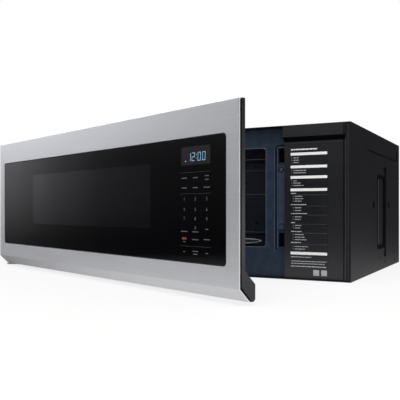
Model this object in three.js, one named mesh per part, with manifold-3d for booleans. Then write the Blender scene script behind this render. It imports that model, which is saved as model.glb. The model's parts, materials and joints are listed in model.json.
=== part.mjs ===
// A slim over-the-range microwave oven with a built-in cooktop hood, as an assembly of separate pieces.
// Units are millimetres. +Z is up, +Y runs from the door to the wall, +X is the user's right.
// The origin is the middle of the cabinet's underside. The door stands ajar, as stored.
import * as THREE from "three";
import { mergeVertices } from "three/addons/utils/BufferGeometryUtils.js";
import Module from "manifold-3d";

const wasm = await Module();
wasm.setup();

// ---------------------------------------------------------------- driving dimensions

const seatGap = 0.3; // left between two pieces that seat on each other
const runGap = 0.3; // radial clearance of a pin or shaft in its hole
const roundSides = 20; // facets of a round piece
const smallSides = 10; // facets of a small pin, hole or screw
const wellSides = 40; // facets of the tray and of the well under it

// cabinet
const bodyWidth = 756;
const bodyHeight = 267;
const bodyDepth = 450;
const caseSheet = 1;
const frontFlange = 9.5; // width of the case's folded front edge at each side
const baseSheet = 1;
const rearSheet = 1;

// oven cavity and the enamelled plate round its mouth
const faceSetback = 20; // face plate behind the cabinet's front edges
const faceSheet = 1;
const faceReach = 15; // face plate past the middle of the latch
const cavityLeftInset = 106; // cavity's wall from the cabinet's left side
const cavityRightInset = 158;
const cavityDrop = 36; // cavity's ceiling below the cabinet's top
const cavityFloor = 44;
const linerSheet = 1;
const mouthSill = 54; // lower edge of the cavity's mouth
const mouthCorner = 4; // corner radius of the mouth, and of the latch pocket
const wellInset = 20; // edge of the round well that the rollers run in, inside the tray's
const backBandHeight = 28; // pressed band across the back wall
const backBandRise = 4.5; // above the middle of the cavity
const backBandDepth = 2.5;
const backBandInset = 34; // from each side wall

// black moulded panel that covers the component bay
const panelLap = 7; // its left edge over the face plate's right edge
const panelRecess = 10; // its lower part behind the cabinet's front edges
const panelWall = 2.5;
const browHeight = 20.6; // of the proud band along its top, below the cabinet's top
const browSlope = 7.4; // height of the slope below the band
const labelWidth = 66;
const labelInset = 11; // from the panel's left edge
const labelDrop = 12; // its top below the slope
const labelBottom = 7;
const labelThickness = 0.25;

// door
const doorOverhang = 1.5; // past the cabinet at each side
const doorDrop = 5; // its top below the cabinet's top
const doorOpenAngle = 22.3; // degrees, as stored
const doorSlab = 10; // thickness at its edges
const doorStandOff = 1.5; // chin to the cabinet's front edges, door shut
const chinDepth = 28; // thickness at the chin
const chinBevel = 17; // the skin's 45 degree bevel along the bottom
const chinBack = 22; // height of the chin's upright back
const chinShoulder = 18; // height of the slope from the chin's back to the slab
const skinSheet = 1;
const skinReturn = 3.5; // how far the skin folds back round the edges
const skinLip = 2; // how far it runs back under the chin
const glassLeft = 23; // from the door's hinge-side edge
const glassRightInset = 25; // from its latch-side edge
const glassBottom = 48;
const glassDrop = 42; // below the door's top
const glassCorner = 6;
const glassRecess = 0.4;
const glassThickness = 4;
const windowLeftMargin = 75.5; // inside the choke's outer edge
const windowRightMargin = 51;
const windowBottom = 93;
const windowDrop = 31; // below the glass's top
const frameReveal = 0.4; // the frame's end caps inside the skin's edge
const frameRound = 3; // bevel of the chin's back
const hingeInset = 10; // hinge axis from the door's edge
const hingeSetback = 18; // hinge axis behind the door's front
const hingePinRadius = 2.5;
const hingePinBite = 15; // length of pin inside the door
const hingeBossRadius = 8;
const hingeBossHeight = 24;
const hingeNoseRadius = 6;
const hingeEar = 1.5; // thickness of a hinge bracket
const hingeEarClearance = 1.2; // between a bracket and the door
const bracketFlange = 30; // height of the bracket's flange on the face plate
const bracketWidth = 17;

// choke frame on the back of the door
const chokeOverlap = 18; // past the cavity's mouth on each side
const chokeDepth = 46; // its back face behind the door's front
const chokeWall = 24; // width of the ring
const chokeGrooveLead = 7; // groove's floor in front of the chin's back
const chokeSheet = 1.2;
const chokeCoverSheet = 1.2;
const chokeTuck = 6; // how far the cover's lips reach into the groove
const screenSheet = 0.8;
const innerWindowSheet = 1.2;
const windowMargin = 12; // screen and inner window past the window's edge

// controls, behind the right part of the door's glass
const controlInset = 37; // board's right edge from the door's latch-side edge
const controlLap = 7.5; // board's left edge inside the rear cover's
const controlMargin = 8; // board inside the glass's upper and lower edges
const controlBoardSheet = 1.6;
const controlBoardSetback = 8;
const displayLeftMargin = 13; // inside the board's edges
const displayRightMargin = 19;
const displayHeight = 25.5;
const displayDrop = 12.5; // below the glass's top
const rearCoverInset = 23; // its right edge from the door's latch-side edge
const rearCoverReach = 10; // its left edge from the middle of the latch
const rearCoverRise = 2; // its bottom above the slope behind the chin
const rearCoverDrop = 19; // below the door's top
const rearCoverProud = 18; // its back behind the door's slab
const rearCoverWall = 2;

// latch
const latchGap = 31; // middle of the hooks and of their slots, from the cavity
const hookWidth = 8;
const hookHeight = 14;
const hookNose = 2.5;
const hookNoseLength = 5;
const hookReach = 66; // hook tip behind the door's front
const upperHookDrop = 14; // below the cavity's ceiling
const lowerHookRise = 13; // above the mouth's sill
const leverWidth = 8;
const leverDepth = 5;
const slotWidth = 13;
const slotHeight = 25;
const slotPocketInset = 5; // pressed pocket round the slots, past each slot
const slotPocketDepth = 1.5;
const latchTravel = 4; // how far the lever lifts
const housingDepth = 38;
const housingWall = 3;
const switchDepth = 16;
const switchHeight = 8.4;
const switchSlack = 1; // switches narrower than the latch's slots
const plungerRadius = 1.5;
const plungerTravel = 1.5;
const plungerReach = 5; // out of the switch
const plungerBite = 4.5; // inside the switch
const switchPitch = 9.4; // between the two lower switches
const springTurns = 7;
const springRadius = 3;
const springWire = 0.8;
const springLength = 28;
const fingerReach = 8; // of the lever's finger and the cover's bridge, under and over the spring

// turntable
const trayMargin = 9.5; // between the tray and the cavity's walls
const trayLift = 0.6; // its underside above the cavity's floor
const trayGlass = 4;
const trayRim = 4; // height of the rim above the flat
const traySlope = 14; // width of the slope up to the rim
const rollerRadius = 6;
const rollerWidth = 8;
const rollerInset = 20; // middle of the rollers inside the well's edge
const rollerCount = 3;
const ringInset = 14; // ring's middle inside the rollers'
const ringWidth = 7;
const ringHeight = 4;
const rollerAxleRadius = 1.3;
const couplerRadius = 14;
const couplerHeight = 8;
const motorRadius = 26;
const motorHeight = 16;
const motorShaftRadius = 3.5;

// microwave source, in the component bay
const guideLength = 120;
const guideHeight = 80;
const guideDepth = 38;
const guideSheet = 1.2;
const guideLedge = 12; // opening in the oven's wall inside the waveguide
const micaLedge = 4; // cover inside the waveguide's outline
const guideMiddleSetback = 215;
const guideRise = 12.5; // above the middle of the cavity
const antennaRadius = 9;
const magnetronWidth = 80;
const magnetronDepth = 92;
const magnetronHeight = 70;
const yokeLength = 60; // the magnetron's steel yoke, round its fins
const yokeSheet = 3;
const magnetronCore = 17; // radius
const antennaLength = 21; // into the waveguide
const filterBoxWidth = 52;
const filterBoxInset = 8;
const finCount = 6;
const finSheet = 1.5;
const micaSheet = 0.8;
const transformerWidth = 90;
const transformerDepth = 76;
const transformerHeight = 72;
const coreDepth = 46; // its steel core, narrower than its coils
const coilWidth = 56;
const coilInset = 16; // coils inside the core's top and bottom
const footLip = 8;
const transformerInset = 80; // from the cabinet's right side
const transformerRearInset = 105;
const capacitorLength = 90;
const capacitorRadius = 18;
const capacitorHeight = 50;
const capacitorSetback = 150;
const fanRim = 6; // frame past the blades on each side
const fanDepth = 25;
const fanRadius = 46;
const fanInset = 78; // from the cabinet's right side
const fanDrop = 24; // its frame below the cabinet's ceiling
const fanBlades = 7;
const boardLength = 120;
const boardHeight = 110;
const boardSetback = 95;
const boardDrop = 46; // below the cabinet's ceiling
const boardSheet = 1.6;
const boardParts = [
  // reach from the wall, and place and size along Y and up the board of the blocks on it
  [22, -36, 28, 12, 28],
  [16, 1, 26, 10, 20],
  [19, 37, 26, 14, 20],
  [14, 40, 28, 62, 34],
];
const boardCans = [
  // reach, radius, place along Y and height of the round parts
  [26, 10, -30, 74],
  [20, 7, 4, 70],
];
const lampGap = 1; // behind the latch housing
const lampDrop = 21; // below the cavity's ceiling
const lampWidth = 36;
const lampHeight = 32;
const lampDepth = 16;
const bulbRadius = 8;
const bulbLength = 18;

// hood blower, in the chamber behind the cavity
const blowerRadius = 32; // wheel
const blowerWheelLength = 92;
const blowerBlades = 18;
const bladeWidth = 6.6;
const hubLength = 18;
const blowerDrop = 106; // its shaft below the cabinet's ceiling
const blowerGap = 30; // half the space between the wheels
const scrollClearance = 9; // wheel to the outside of the scroll
const scrollSheet = 1.5;
const chamberGap = 5.5; // scroll to the cavity and to the rear plate
const scrollEnd = 10; // scroll past the wheel
const blowerShaftRadius = 3;
const blowerMotorRadius = 30;
const outletInset = 2; // outlet inside the scroll's ends
const outletLedge = 4; // outlet inside the scroll's front and back
const damperSheet = 0.8;
const damperGap = 1; // round the flap, in the outlet
const damperEdge = 6; // pivot to the outlet's rear edge
const damperDrop = 4; // pivot below the flap
const damperPinRadius = 1.5;
const filterWidth = 194;
const filterDepth = 127;
const filterHeight = 8;
const filterInset = 141; // from the cabinet's sides
const filterRearInset = 150;
const filterLip = 6;
const filterMesh = 4; // thickness of the mesh in its frame
const filterFrame = 9;
const charcoalLength = 300;
const charcoalDepth = 92;
const charcoalHeight = 12;
const charcoalSetback = 92;
const lightInset = 163; // from the cabinet's sides
const lightSetback = 75;
const lensWidth = 70;
const lensDepth = 46;
const lensHeight = 3;
const lensLip = 5;
const glandRadius = 11;
const glandBore = 5.5;
const glandInset = 60; // from the cabinet's right side
const glandRearInset = 58;

// openings and pressings in the case
const sidePadSetback = 248;
const sidePadWidth = 75;
const sidePadBottom = 46;
const sidePadDrop = 81; // its top below the cabinet's top
const sideSlotSetback = 288;
const sideSlotWidth = 8;
const sideSlotBottom = 24;
const sideSlotDrop = 59;
const sidePressDepth = 2.5;
const cornerSlotRearInset = 33;
const cornerSlotWidth = 6;
const cornerSlotHeight = 20;
const cornerSlotDrop = 17;
const sideHoleRadius = 6;
const sideHoleSpread = 148;
const sideHoleMiddle = 251;
const sideHoleDrop = 137;
const sideDimples = [
  // setback, height and radius of the small screw holes along the lower edge
  [289, 13, 3.5],
  [238, 25, 3],
  [390, 27, 3],
  [390, 10, 2],
];
const creaseStart = 129;
const creaseRearInset = 63;
const creaseDrop = 39;
const topSlotCount = 12;
const topSlotPitch = 32;
const topSlotLength = 24;
const topSlotWidth = 5;
const topSlotSetback = 34;
const topBoltInset = 88;
const topBoltSetback = 70;
const topBoltRadius = 3.5;
const hangSlotInset = 128;
const hangSlotZ = 14;
const hangSlotWidth = 40;
const hangSlotHeight = 7;
const ventSlotCount = 7;

// ---------------------------------------------------------------- shared places

const halfWidth = bodyWidth / 2;
const frontY = -bodyDepth / 2;
const rearY = bodyDepth / 2;
const innerWidth = halfWidth - caseSheet;
const ceilingZ = bodyHeight - caseSheet;
const acrossInside = [-innerWidth + seatGap, innerWidth - seatGap];
const upInside = [baseSheet + seatGap, ceilingZ - seatGap];
const behind = (setback) => frontY + setback; // a depth measured from the cabinet's front edges

const scrollRadius = blowerRadius + scrollClearance;
const scrollHalf = blowerGap + blowerWheelLength + scrollEnd;
const blowerY = rearY - rearSheet - chamberGap - scrollRadius;
const blowerZ = ceilingZ - blowerDrop;
const outletWidth = 2 * (scrollHalf - outletInset);
const outletDepth = 2 * (scrollRadius - outletLedge);
const damperY = blowerY + outletDepth / 2 - damperEdge;
const damperZ = ceilingZ - damperDrop;
const fanFrame = 2 * (fanRadius + fanRim);
const switchWidth = slotWidth - switchSlack;

const browBottom = bodyHeight - browHeight;
const cavityLeft = -halfWidth + cavityLeftInset;
const cavityRight = halfWidth - cavityRightInset;
const cavityCeiling = bodyHeight - cavityDrop;
const latchX = cavityRight + latchGap;
const faceRight = latchX + faceReach;
const panelLeft = faceRight - panelLap;
const cavityMiddleZ = (cavityFloor + cavityCeiling) / 2;
const cavityBack = blowerY - scrollRadius - chamberGap - linerSheet; // inside of the back wall
const mouthBack = behind(faceSetback);
const guideMiddleY = behind(guideMiddleSetback);
const guideMiddleZ = cavityMiddleZ + guideRise;

const trayMiddleX = (cavityLeft + cavityRight) / 2;
const trayMiddleY = (mouthBack + cavityBack) / 2;
const trayRadius = Math.min(cavityRight - cavityLeft, cavityBack - mouthBack) / 2 - trayMargin;
const wellRadius = trayRadius - wellInset;
const rollerTrack = wellRadius - rollerInset;
const ringRadius = rollerTrack - ringInset;
const rollerTop = cavityFloor + trayLift - seatGap;
const rollerMiddleZ = rollerTop - rollerRadius;
const wellFloor = rollerMiddleZ - rollerRadius - seatGap;

const doorWidth = bodyWidth + 2 * doorOverhang;
const doorTop = bodyHeight - doorDrop;
const doorBottom = baseSheet + seatGap + hingeEar + hingeEarClearance;
const doorFront = -(chinDepth + doorStandOff); // setback of the shut door's front
const hingeX = -doorWidth / 2 + hingeInset;
const hingeY = behind(doorFront + hingeSetback);
const glassRight = doorWidth - glassRightInset;
const glassTop = doorTop - glassDrop;
const windowTop = glassTop - windowDrop;
const chokeLeft = cavityLeft - chokeOverlap + doorWidth / 2; // edges of the choke along the door
const chokeRight = cavityRight + chokeOverlap + doorWidth / 2;
const windowLeft = chokeLeft + windowLeftMargin;
const windowRight = chokeRight - windowRightMargin;
const leverU = latchX + doorWidth / 2;
const rearCoverLeft = leverU - rearCoverReach;
const controlLeft = rearCoverLeft + controlLap;
const controlRight = doorWidth - controlInset;

const upperHookZ = cavityCeiling - upperHookDrop;
const lowerHookZ = mouthSill + lowerHookRise;
const springFoot = (upperHookZ + lowerHookZ - springLength) / 2; // its lower end
const switchFront = doorFront + hookReach + 0.5 + plungerReach;

// ---------------------------------------------------------------- materials

const finish = (color, roughness, metalness = 0) =>
  new THREE.MeshStandardMaterial({ color, roughness, metalness });
const finishes = {
  stainless: finish(0xb9babc, 0.34, 1),
  casePaint: finish(0x2c2d31, 0.5, 0.2),
  enamel: finish(0x26324a, 0.28),
  blackPlastic: finish(0x232327, 0.5),
  doorPlastic: finish(0x3a3b3e, 0.45),
  blackGlass: finish(0x0b0c0f, 0.06),
  clearGlass: finish(0xcfd8d6, 0.05),
  zincSteel: finish(0xa9adb0, 0.45, 0.9),
  aluminium: finish(0xb6b8ba, 0.4, 1),
  copper: finish(0x9a5a32, 0.4, 0.8),
  circuit: finish(0x1f5a3a, 0.6),
  whitePlastic: finish(0xe4e4e0, 0.5),
  greyPlastic: finish(0x7d7f83, 0.55),
  mica: finish(0xb9ad92, 0.7),
  carbon: finish(0x1a1a1a, 0.95),
  label: finish(0x1d1e21, 0.6),
};

// ---------------------------------------------------------------- solids from three.js geometry

function solid(geometry) {
  const bare = geometry.index ? geometry.toNonIndexed() : geometry.clone();
  bare.deleteAttribute("normal");
  bare.deleteAttribute("uv");
  const merged = mergeVertices(bare, 1e-4);
  return new wasm.Manifold(
    new wasm.Mesh({
      numProp: 3,
      vertProperties: new Float32Array(merged.attributes.position.array),
      triVerts: new Uint32Array(merged.index.array),
    }),
  );
}

function geometryOf(manifold) {
  const mesh = manifold.getMesh();
  const geometry = new THREE.BufferGeometry();
  geometry.setAttribute("position", new THREE.BufferAttribute(new Float32Array(mesh.vertProperties), 3));
  geometry.setIndex(new THREE.BufferAttribute(new Uint32Array(mesh.triVerts), 1));
  geometry.computeVertexNormals();
  return geometry;
}

const join = (first, ...others) => others.reduce((sum, next) => sum.add(next), first);
const cut = (first, ...others) => others.reduce((left, next) => left.subtract(next), first);

// A block between two values on each axis.
function block([x0, x1], [y0, y1], [z0, z1]) {
  const box = new THREE.BoxGeometry(x1 - x0, y1 - y0, z1 - z0);
  return solid(box.translate((x0 + x1) / 2, (y0 + y1) / 2, (z0 + z1) / 2));
}

// Two values in rising order.
const rising = (a, b) => [Math.min(a, b), Math.max(a, b)];

// A block centred in X and Y.
const blockAt = (x, y, width, depth, z0, z1) =>
  block([x - width / 2, x + width / 2], [y - depth / 2, y + depth / 2], [z0, z1]);

// A round bar from one end to the other along an axis, "x", "y" or "z", at the other two coordinates.
function bar(axis, from, to, radius, [a, b], sides = roundSides, endRadius = radius) {
  const rod = new THREE.CylinderGeometry(endRadius, radius, to - from, sides);
  const middle = (from + to) / 2;
  if (axis === "x") return solid(rod.rotateZ(-Math.PI / 2).translate(middle, a, b));
  if (axis === "y") return solid(rod.translate(a, middle, b));
  return solid(rod.rotateX(Math.PI / 2).translate(a, b, middle));
}

function outline(points) {
  const shape = new THREE.Shape();
  points.forEach(([a, b], i) => (i ? shape.lineTo(a, b) : shape.moveTo(a, b)));
  shape.closePath();
  return shape;
}

function roundedOutline([x0, x1], [y0, y1], radius) {
  const shape = new THREE.Shape();
  shape.moveTo(x0 + radius, y0);
  shape.lineTo(x1 - radius, y0);
  shape.absarc(x1 - radius, y0 + radius, radius, -Math.PI / 2, 0, false);
  shape.lineTo(x1, y1 - radius);
  shape.absarc(x1 - radius, y1 - radius, radius, 0, Math.PI / 2, false);
  shape.lineTo(x0 + radius, y1);
  shape.absarc(x0 + radius, y1 - radius, radius, Math.PI / 2, Math.PI, false);
  shape.lineTo(x0, y0 + radius);
  shape.absarc(x0 + radius, y0 + radius, radius, Math.PI, 1.5 * Math.PI, false);
  return shape;
}

const extruded = (shape, depth, curveSegments = 4) =>
  new THREE.ExtrudeGeometry(shape, { depth, bevelEnabled: false, curveSegments });

// An outline drawn in (Y, Z), carried along X.
const alongX = (shape, [x0, x1], curveSegments) =>
  solid(extruded(shape, x1 - x0, curveSegments).rotateX(Math.PI / 2).rotateZ(Math.PI / 2).translate(x0, 0, 0));

// An outline drawn in (X, Z), carried along Y.
const alongY = (shape, [y0, y1], curveSegments) =>
  solid(extruded(shape, y1 - y0, curveSegments).rotateX(Math.PI / 2).translate(0, y1, 0));

// An outline drawn in (X, Y), carried along Z.
const alongZ = (shape, [z0, z1], curveSegments) =>
  solid(extruded(shape, z1 - z0, curveSegments).translate(0, 0, z0));

// A profile in (radius, height) turned about the Z axis.
function turned(profile, segments = roundSides) {
  const points = profile.map(([r, z]) => new THREE.Vector2(r, z));
  return solid(new THREE.LatheGeometry(points, segments).rotateX(Math.PI / 2));
}

const past = 5; // how far a cutting tool runs past what it cuts

function piece(group, name, manifold, material) {
  const mesh = new THREE.Mesh(geometryOf(manifold), material);
  mesh.name = name;
  group.add(mesh);
  return mesh;
}

// ---------------------------------------------------------------- cabinet

// A pocket pressed into a side wall: the wall bulges inwards and stays one sheet thick.
function pressedIntoSide(wall, side, cavity, depth) {
  const face = side * halfWidth;
  const { y0, y1, z0, z1 } = cavity;
  const bulge = block(
    rising(face, face - side * (depth + caseSheet)),
    [y0 - caseSheet, y1 + caseSheet],
    [z0 - caseSheet, z1 + caseSheet],
  );
  const pocket = block(rising(face + side * past, face - side * depth), [y0, y1], [z0, z1]);
  return cut(join(wall, bulge), pocket);
}

const glandAt = [halfWidth - glandInset, rearY - glandRearInset];

function caseWrap() {
  let wrap = cut(
    block([-halfWidth, halfWidth], [frontY, rearY], [0, bodyHeight]),
    block([-innerWidth, innerWidth], [frontY - past, rearY + past], [-past, ceilingZ]),
  );
  for (const side of [-1, 1]) {
    const outer = side * halfWidth;
    const through = [outer - past, outer + past];
    const flange = rising(outer, side * (halfWidth - frontFlange));
    wrap = join(wrap, block(flange, [frontY, frontY + caseSheet], [0, bodyHeight]));
    wrap = pressedIntoSide(
      wrap,
      side,
      {
        y0: behind(sidePadSetback - sidePadWidth / 2),
        y1: behind(sidePadSetback + sidePadWidth / 2),
        z0: sidePadBottom,
        z1: bodyHeight - sidePadDrop,
      },
      sidePressDepth,
    );
    wrap = pressedIntoSide(
      wrap,
      side,
      {
        y0: behind(sideSlotSetback - sideSlotWidth / 2),
        y1: behind(sideSlotSetback + sideSlotWidth / 2),
        z0: sideSlotBottom,
        z1: bodyHeight - sideSlotDrop,
      },
      2 * sidePressDepth,
    );
    wrap = pressedIntoSide(
      wrap,
      side,
      {
        y0: behind(creaseStart),
        y1: rearY - creaseRearInset,
        z0: bodyHeight - creaseDrop,
        z1: bodyHeight - creaseDrop + 2 * caseSheet,
      },
      caseSheet,
    );
    for (const end of [-1, 1]) {
      const holeY = behind(sideHoleMiddle + (end * sideHoleSpread) / 2);
      wrap = cut(wrap, bar("x", ...through, sideHoleRadius, [holeY, bodyHeight - sideHoleDrop]));
    }
    for (const [setback, z, radius] of sideDimples) {
      wrap = cut(wrap, bar("x", ...through, radius, [behind(setback), z], smallSides));
    }
    const cornerY = rearY - cornerSlotRearInset;
    const cornerSlot = block(
      through,
      [cornerY - cornerSlotWidth / 2, cornerY + cornerSlotWidth / 2],
      [bodyHeight - cornerSlotDrop - cornerSlotHeight, bodyHeight - cornerSlotDrop],
    );
    wrap = cut(wrap, cornerSlot);
  }
  const roof = [ceilingZ - past, bodyHeight + past];
  wrap = cut(wrap, blockAt(0, blowerY, outletWidth, outletDepth, ...roof));
  for (let i = 0; i < topSlotCount; i++) {
    const x = (i - (topSlotCount - 1) / 2) * topSlotPitch;
    wrap = cut(wrap, blockAt(x, behind(topSlotSetback), topSlotLength, topSlotWidth, ...roof));
  }
  for (const side of [-1, 1]) {
    const at = [side * (halfWidth - topBoltInset), behind(topBoltSetback)];
    wrap = cut(wrap, bar("z", ...roof, topBoltRadius, at, smallSides));
  }
  return cut(wrap, bar("z", ...roof, glandRadius + seatGap, glandAt));
}

const fanX = halfWidth - fanInset;
const fanZ = ceilingZ - fanDrop - fanFrame / 2;

function rearPlate() {
  const through = [rearY - past, rearY + past];
  let plate = block(acrossInside, [rearY - rearSheet, rearY], upInside);
  for (const side of [-1, 1]) {
    const slotX = side * (halfWidth - hangSlotInset);
    const slotSpan = [slotX - hangSlotWidth / 2, slotX + hangSlotWidth / 2];
    plate = cut(plate, block(slotSpan, through, [hangSlotZ, hangSlotZ + hangSlotHeight]));
  }
  const pitch = (2 * fanRadius) / ventSlotCount;
  for (let i = 0; i < ventSlotCount; i++) {
    const z = fanZ - fanRadius + (i + 0.25) * pitch;
    plate = cut(plate, block([fanX - fanRadius, fanX + fanRadius], through, [z, z + pitch / 2]));
  }
  return plate;
}

const filterAt = (side) => [side * (halfWidth - filterInset - filterWidth / 2), rearY - filterRearInset];
const lightAt = (side) => [side * (halfWidth - lightInset), behind(lightSetback)];

function basePlate() {
  let plate = block(acrossInside, [behind(caseSheet + seatGap), rearY], [0, baseSheet]);
  for (const side of [-1, 1]) {
    const filterHole = [filterWidth - 2 * filterLip, filterDepth - 2 * filterLip];
    const lightHole = [lensWidth - 2 * lensLip, lensDepth - 2 * lensLip];
    plate = cut(
      plate,
      blockAt(...filterAt(side), ...filterHole, -past, past),
      blockAt(...lightAt(side), ...lightHole, -past, past),
    );
  }
  return plate;
}

function facePlate() {
  const pocketLeft = latchX - slotWidth / 2 - slotPocketInset;
  const pocketRight = faceRight - 2 * faceSheet;
  const pocketBottom = lowerHookZ - slotHeight / 2 - slotPocketInset;
  const pocketTop = upperHookZ + slotHeight / 2 + slotPocketInset;
  const front = mouthBack;
  let plate = block([acrossInside[0], faceRight], [front, front + faceSheet], upInside);
  plate = join(
    plate,
    block(
      [pocketLeft - faceSheet, pocketRight + faceSheet],
      [front, front + slotPocketDepth + faceSheet],
      [pocketBottom - faceSheet, pocketTop + faceSheet],
    ),
  );
  const pocket = roundedOutline([pocketLeft, pocketRight], [pocketBottom, pocketTop], mouthCorner);
  plate = cut(plate, alongY(pocket, [front - past, front + slotPocketDepth]));
  const mouth = roundedOutline([cavityLeft, cavityRight], [mouthSill, cavityCeiling], mouthCorner);
  plate = cut(plate, alongY(mouth, [front - past, front + past]));
  for (const z of [upperHookZ, lowerHookZ]) {
    plate = cut(
      plate,
      block(
        [latchX - slotWidth / 2, latchX + slotWidth / 2],
        [front - past, front + past],
        [z - slotHeight / 2, z + slotHeight / 2],
      ),
    );
  }
  return plate;
}

function cavityLiner() {
  const start = mouthBack + faceSheet + seatGap;
  const back = cavityBack;
  const shell = block(
    [cavityLeft - linerSheet, cavityRight + linerSheet],
    [start, back + linerSheet],
    [cavityFloor - linerSheet, cavityCeiling + linerSheet],
  );
  const middle = [trayMiddleX, trayMiddleY];
  const wellShell = bar("z", wellFloor - linerSheet, cavityFloor, wellRadius + linerSheet, middle, wellSides);
  const room = block([cavityLeft, cavityRight], [start - past, back], [cavityFloor, cavityCeiling]);
  const well = bar("z", wellFloor, cavityFloor + past, wellRadius, middle, wellSides);
  const shaftHole = bar("z", wellFloor - past, cavityFloor, motorShaftRadius + 2, middle, smallSides);
  let liner = cut(join(shell, wellShell), room, well, shaftHole);
  // the pressed band across the back wall stands proud into the oven
  const bandZ = cavityMiddleZ + backBandRise;
  const band = block(
    [cavityLeft + backBandInset, cavityRight - backBandInset],
    [back - backBandDepth, back + linerSheet],
    [bandZ - backBandHeight / 2, bandZ + backBandHeight / 2],
  );
  liner = join(liner, band);
  const guideMouth = block(
    [cavityRight - past, cavityRight + past],
    [guideMiddleY - guideLength / 2 + guideLedge, guideMiddleY + guideLength / 2 - guideLedge],
    [guideMiddleZ - guideHeight / 2 + guideLedge, guideMiddleZ + guideHeight / 2 - guideLedge],
  );
  return cut(liner, guideMouth);
}

function sidePanel() {
  const right = halfWidth - frontFlange - seatGap;
  const top = ceilingZ - seatGap;
  const bottom = baseSheet + seatGap;
  const brow = browBottom - browSlope;
  const profile = [
    [behind(0), top],
    [behind(0), browBottom],
    [behind(panelRecess), brow],
    [behind(panelRecess), bottom],
    [behind(panelRecess + panelWall), bottom],
    [behind(panelRecess + panelWall), brow + panelWall / 2],
    [behind(panelWall), browBottom + panelWall / 2],
    [behind(panelWall), top],
  ];
  const skin = alongX(outline(profile), [panelLeft, right]);
  const cheekProfile = [
    [behind(0), top],
    [behind(0), browBottom],
    [behind(panelRecess), brow],
    [behind(panelRecess), bottom],
    [behind(faceSetback - seatGap), bottom],
    [behind(faceSetback - seatGap), top],
  ];
  const cheeks = [panelLeft, right - panelWall].map((x) => alongX(outline(cheekProfile), [x, x + panelWall]));
  // a tongue that reaches behind the case's front flange
  const tongue = block(
    [right - panelWall, innerWidth - seatGap],
    [behind(panelRecess), behind(panelRecess + panelWall)],
    [bottom, brow],
  );
  return join(skin, ...cheeks, tongue);
}

const guideLabel = () =>
  block(
    [panelLeft + labelInset, panelLeft + labelInset + labelWidth],
    [behind(panelRecess - labelThickness), behind(panelRecess)],
    [labelBottom, browBottom - browSlope - labelDrop],
  );

// One hinge bracket: an ear over or under the door, and a flange that lies on the face plate.
function hingeBracket(top) {
  const earBottom = top ? doorTop + hingeEarClearance : doorBottom - hingeEarClearance - hingeEar;
  const earTop = earBottom + hingeEar;
  const earZ = [earBottom, earTop];
  const flangeFront = behind(faceSetback - seatGap - hingeEar);
  const left = -halfWidth + frontFlange + seatGap;
  const span = [left, left + bracketWidth];
  const ear = join(
    bar("z", ...earZ, hingeNoseRadius, [hingeX, hingeY]),
    block([hingeX - hingeNoseRadius, span[1]], [hingeY, behind(-seatGap)], earZ),
    block(span, [behind(-1), flangeFront + hingeEar], earZ),
  );
  const flangeZ = top ? [earTop - bracketFlange, earTop] : [earBottom, earBottom + bracketFlange];
  const flange = block(span, [flangeFront, flangeFront + hingeEar], flangeZ);
  const hole = bar("z", earBottom - past, earTop + past, hingePinRadius + runGap, [hingeX, hingeY], smallSides);
  return cut(join(ear, flange), hole);
}

function hingePin(top) {
  const at = [hingeX, hingeY];
  const [low, high] = top
    ? [doorTop - hingePinBite, doorTop + hingeEarClearance + hingeEar]
    : [doorBottom - hingeEarClearance - hingeEar, doorBottom + hingePinBite];
  return bar("z", low, high, hingePinRadius, at, smallSides);
}

// ---------------------------------------------------------------- latch, behind the face plate

const housingFront = mouthBack + slotPocketDepth + faceSheet + seatGap;

function latchHousing() {
  const front = housingFront;
  const span = [latchX - slotWidth / 2 - housingWall, latchX + slotWidth / 2 + housingWall];
  const [bottom, top] = [lowerHookZ - slotHeight / 2 - housingWall, upperHookZ + slotHeight / 2 + housingWall];
  let housing = block(span, [front, front + housingDepth], [bottom, top]);
  for (const z of [upperHookZ, lowerHookZ]) {
    const channel = block(
      [latchX - slotWidth / 2, latchX + slotWidth / 2],
      [front - past, front + housingDepth + past],
      [z - slotHeight / 2, z + slotHeight / 2],
    );
    housing = cut(housing, channel);
  }
  const relief = block(
    [latchX - slotWidth / 2, latchX + slotWidth / 2],
    [front + housingWall, front + housingDepth + past],
    [lowerHookZ + slotHeight / 2 + housingWall, upperHookZ - slotHeight / 2 - housingWall],
  );
  housing = cut(housing, relief);
  // shelves that carry the switches
  for (const z of [upperHookZ - switchHeight / 2, lowerHookZ - switchPitch / 2 - switchHeight / 2]) {
    const shelf = block(
      [latchX - slotWidth / 2 - 1, latchX + slotWidth / 2 + 1],
      [behind(switchFront), behind(switchFront + switchDepth)],
      [z - seatGap - 2, z - seatGap],
    );
    housing = join(housing, shelf);
  }
  return housing;
}

function microSwitch(z) {
  const body = block(
    [latchX - switchWidth / 2, latchX + switchWidth / 2],
    [behind(switchFront), behind(switchFront + switchDepth)],
    [z - switchHeight / 2, z + switchHeight / 2],
  );
  const depth = plungerBite + plungerTravel + seatGap;
  const bore = [behind(switchFront - past), behind(switchFront + depth)];
  return cut(body, bar("y", ...bore, plungerRadius + runGap, [latchX, z], smallSides));
}

function plunger(z) {
  const span = [behind(switchFront - plungerReach), behind(switchFront + plungerBite)];
  return bar("y", ...span, plungerRadius, [latchX, z], smallSides);
}

// ---------------------------------------------------------------- turntable, built round its own axis

function glassTray() {
  const flat = rollerTop + seatGap;
  const rimTop = flat + trayGlass + trayRim;
  const profile = [
    [0, flat],
    [trayRadius - traySlope, flat],
    [trayRadius, flat + trayRim],
    [trayRadius, rimTop],
    [trayRadius - trayGlass, rimTop],
    [trayRadius - traySlope - 1, flat + trayGlass],
    [0, flat + trayGlass],
  ];
  return turned(profile, wellSides);
}

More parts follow.
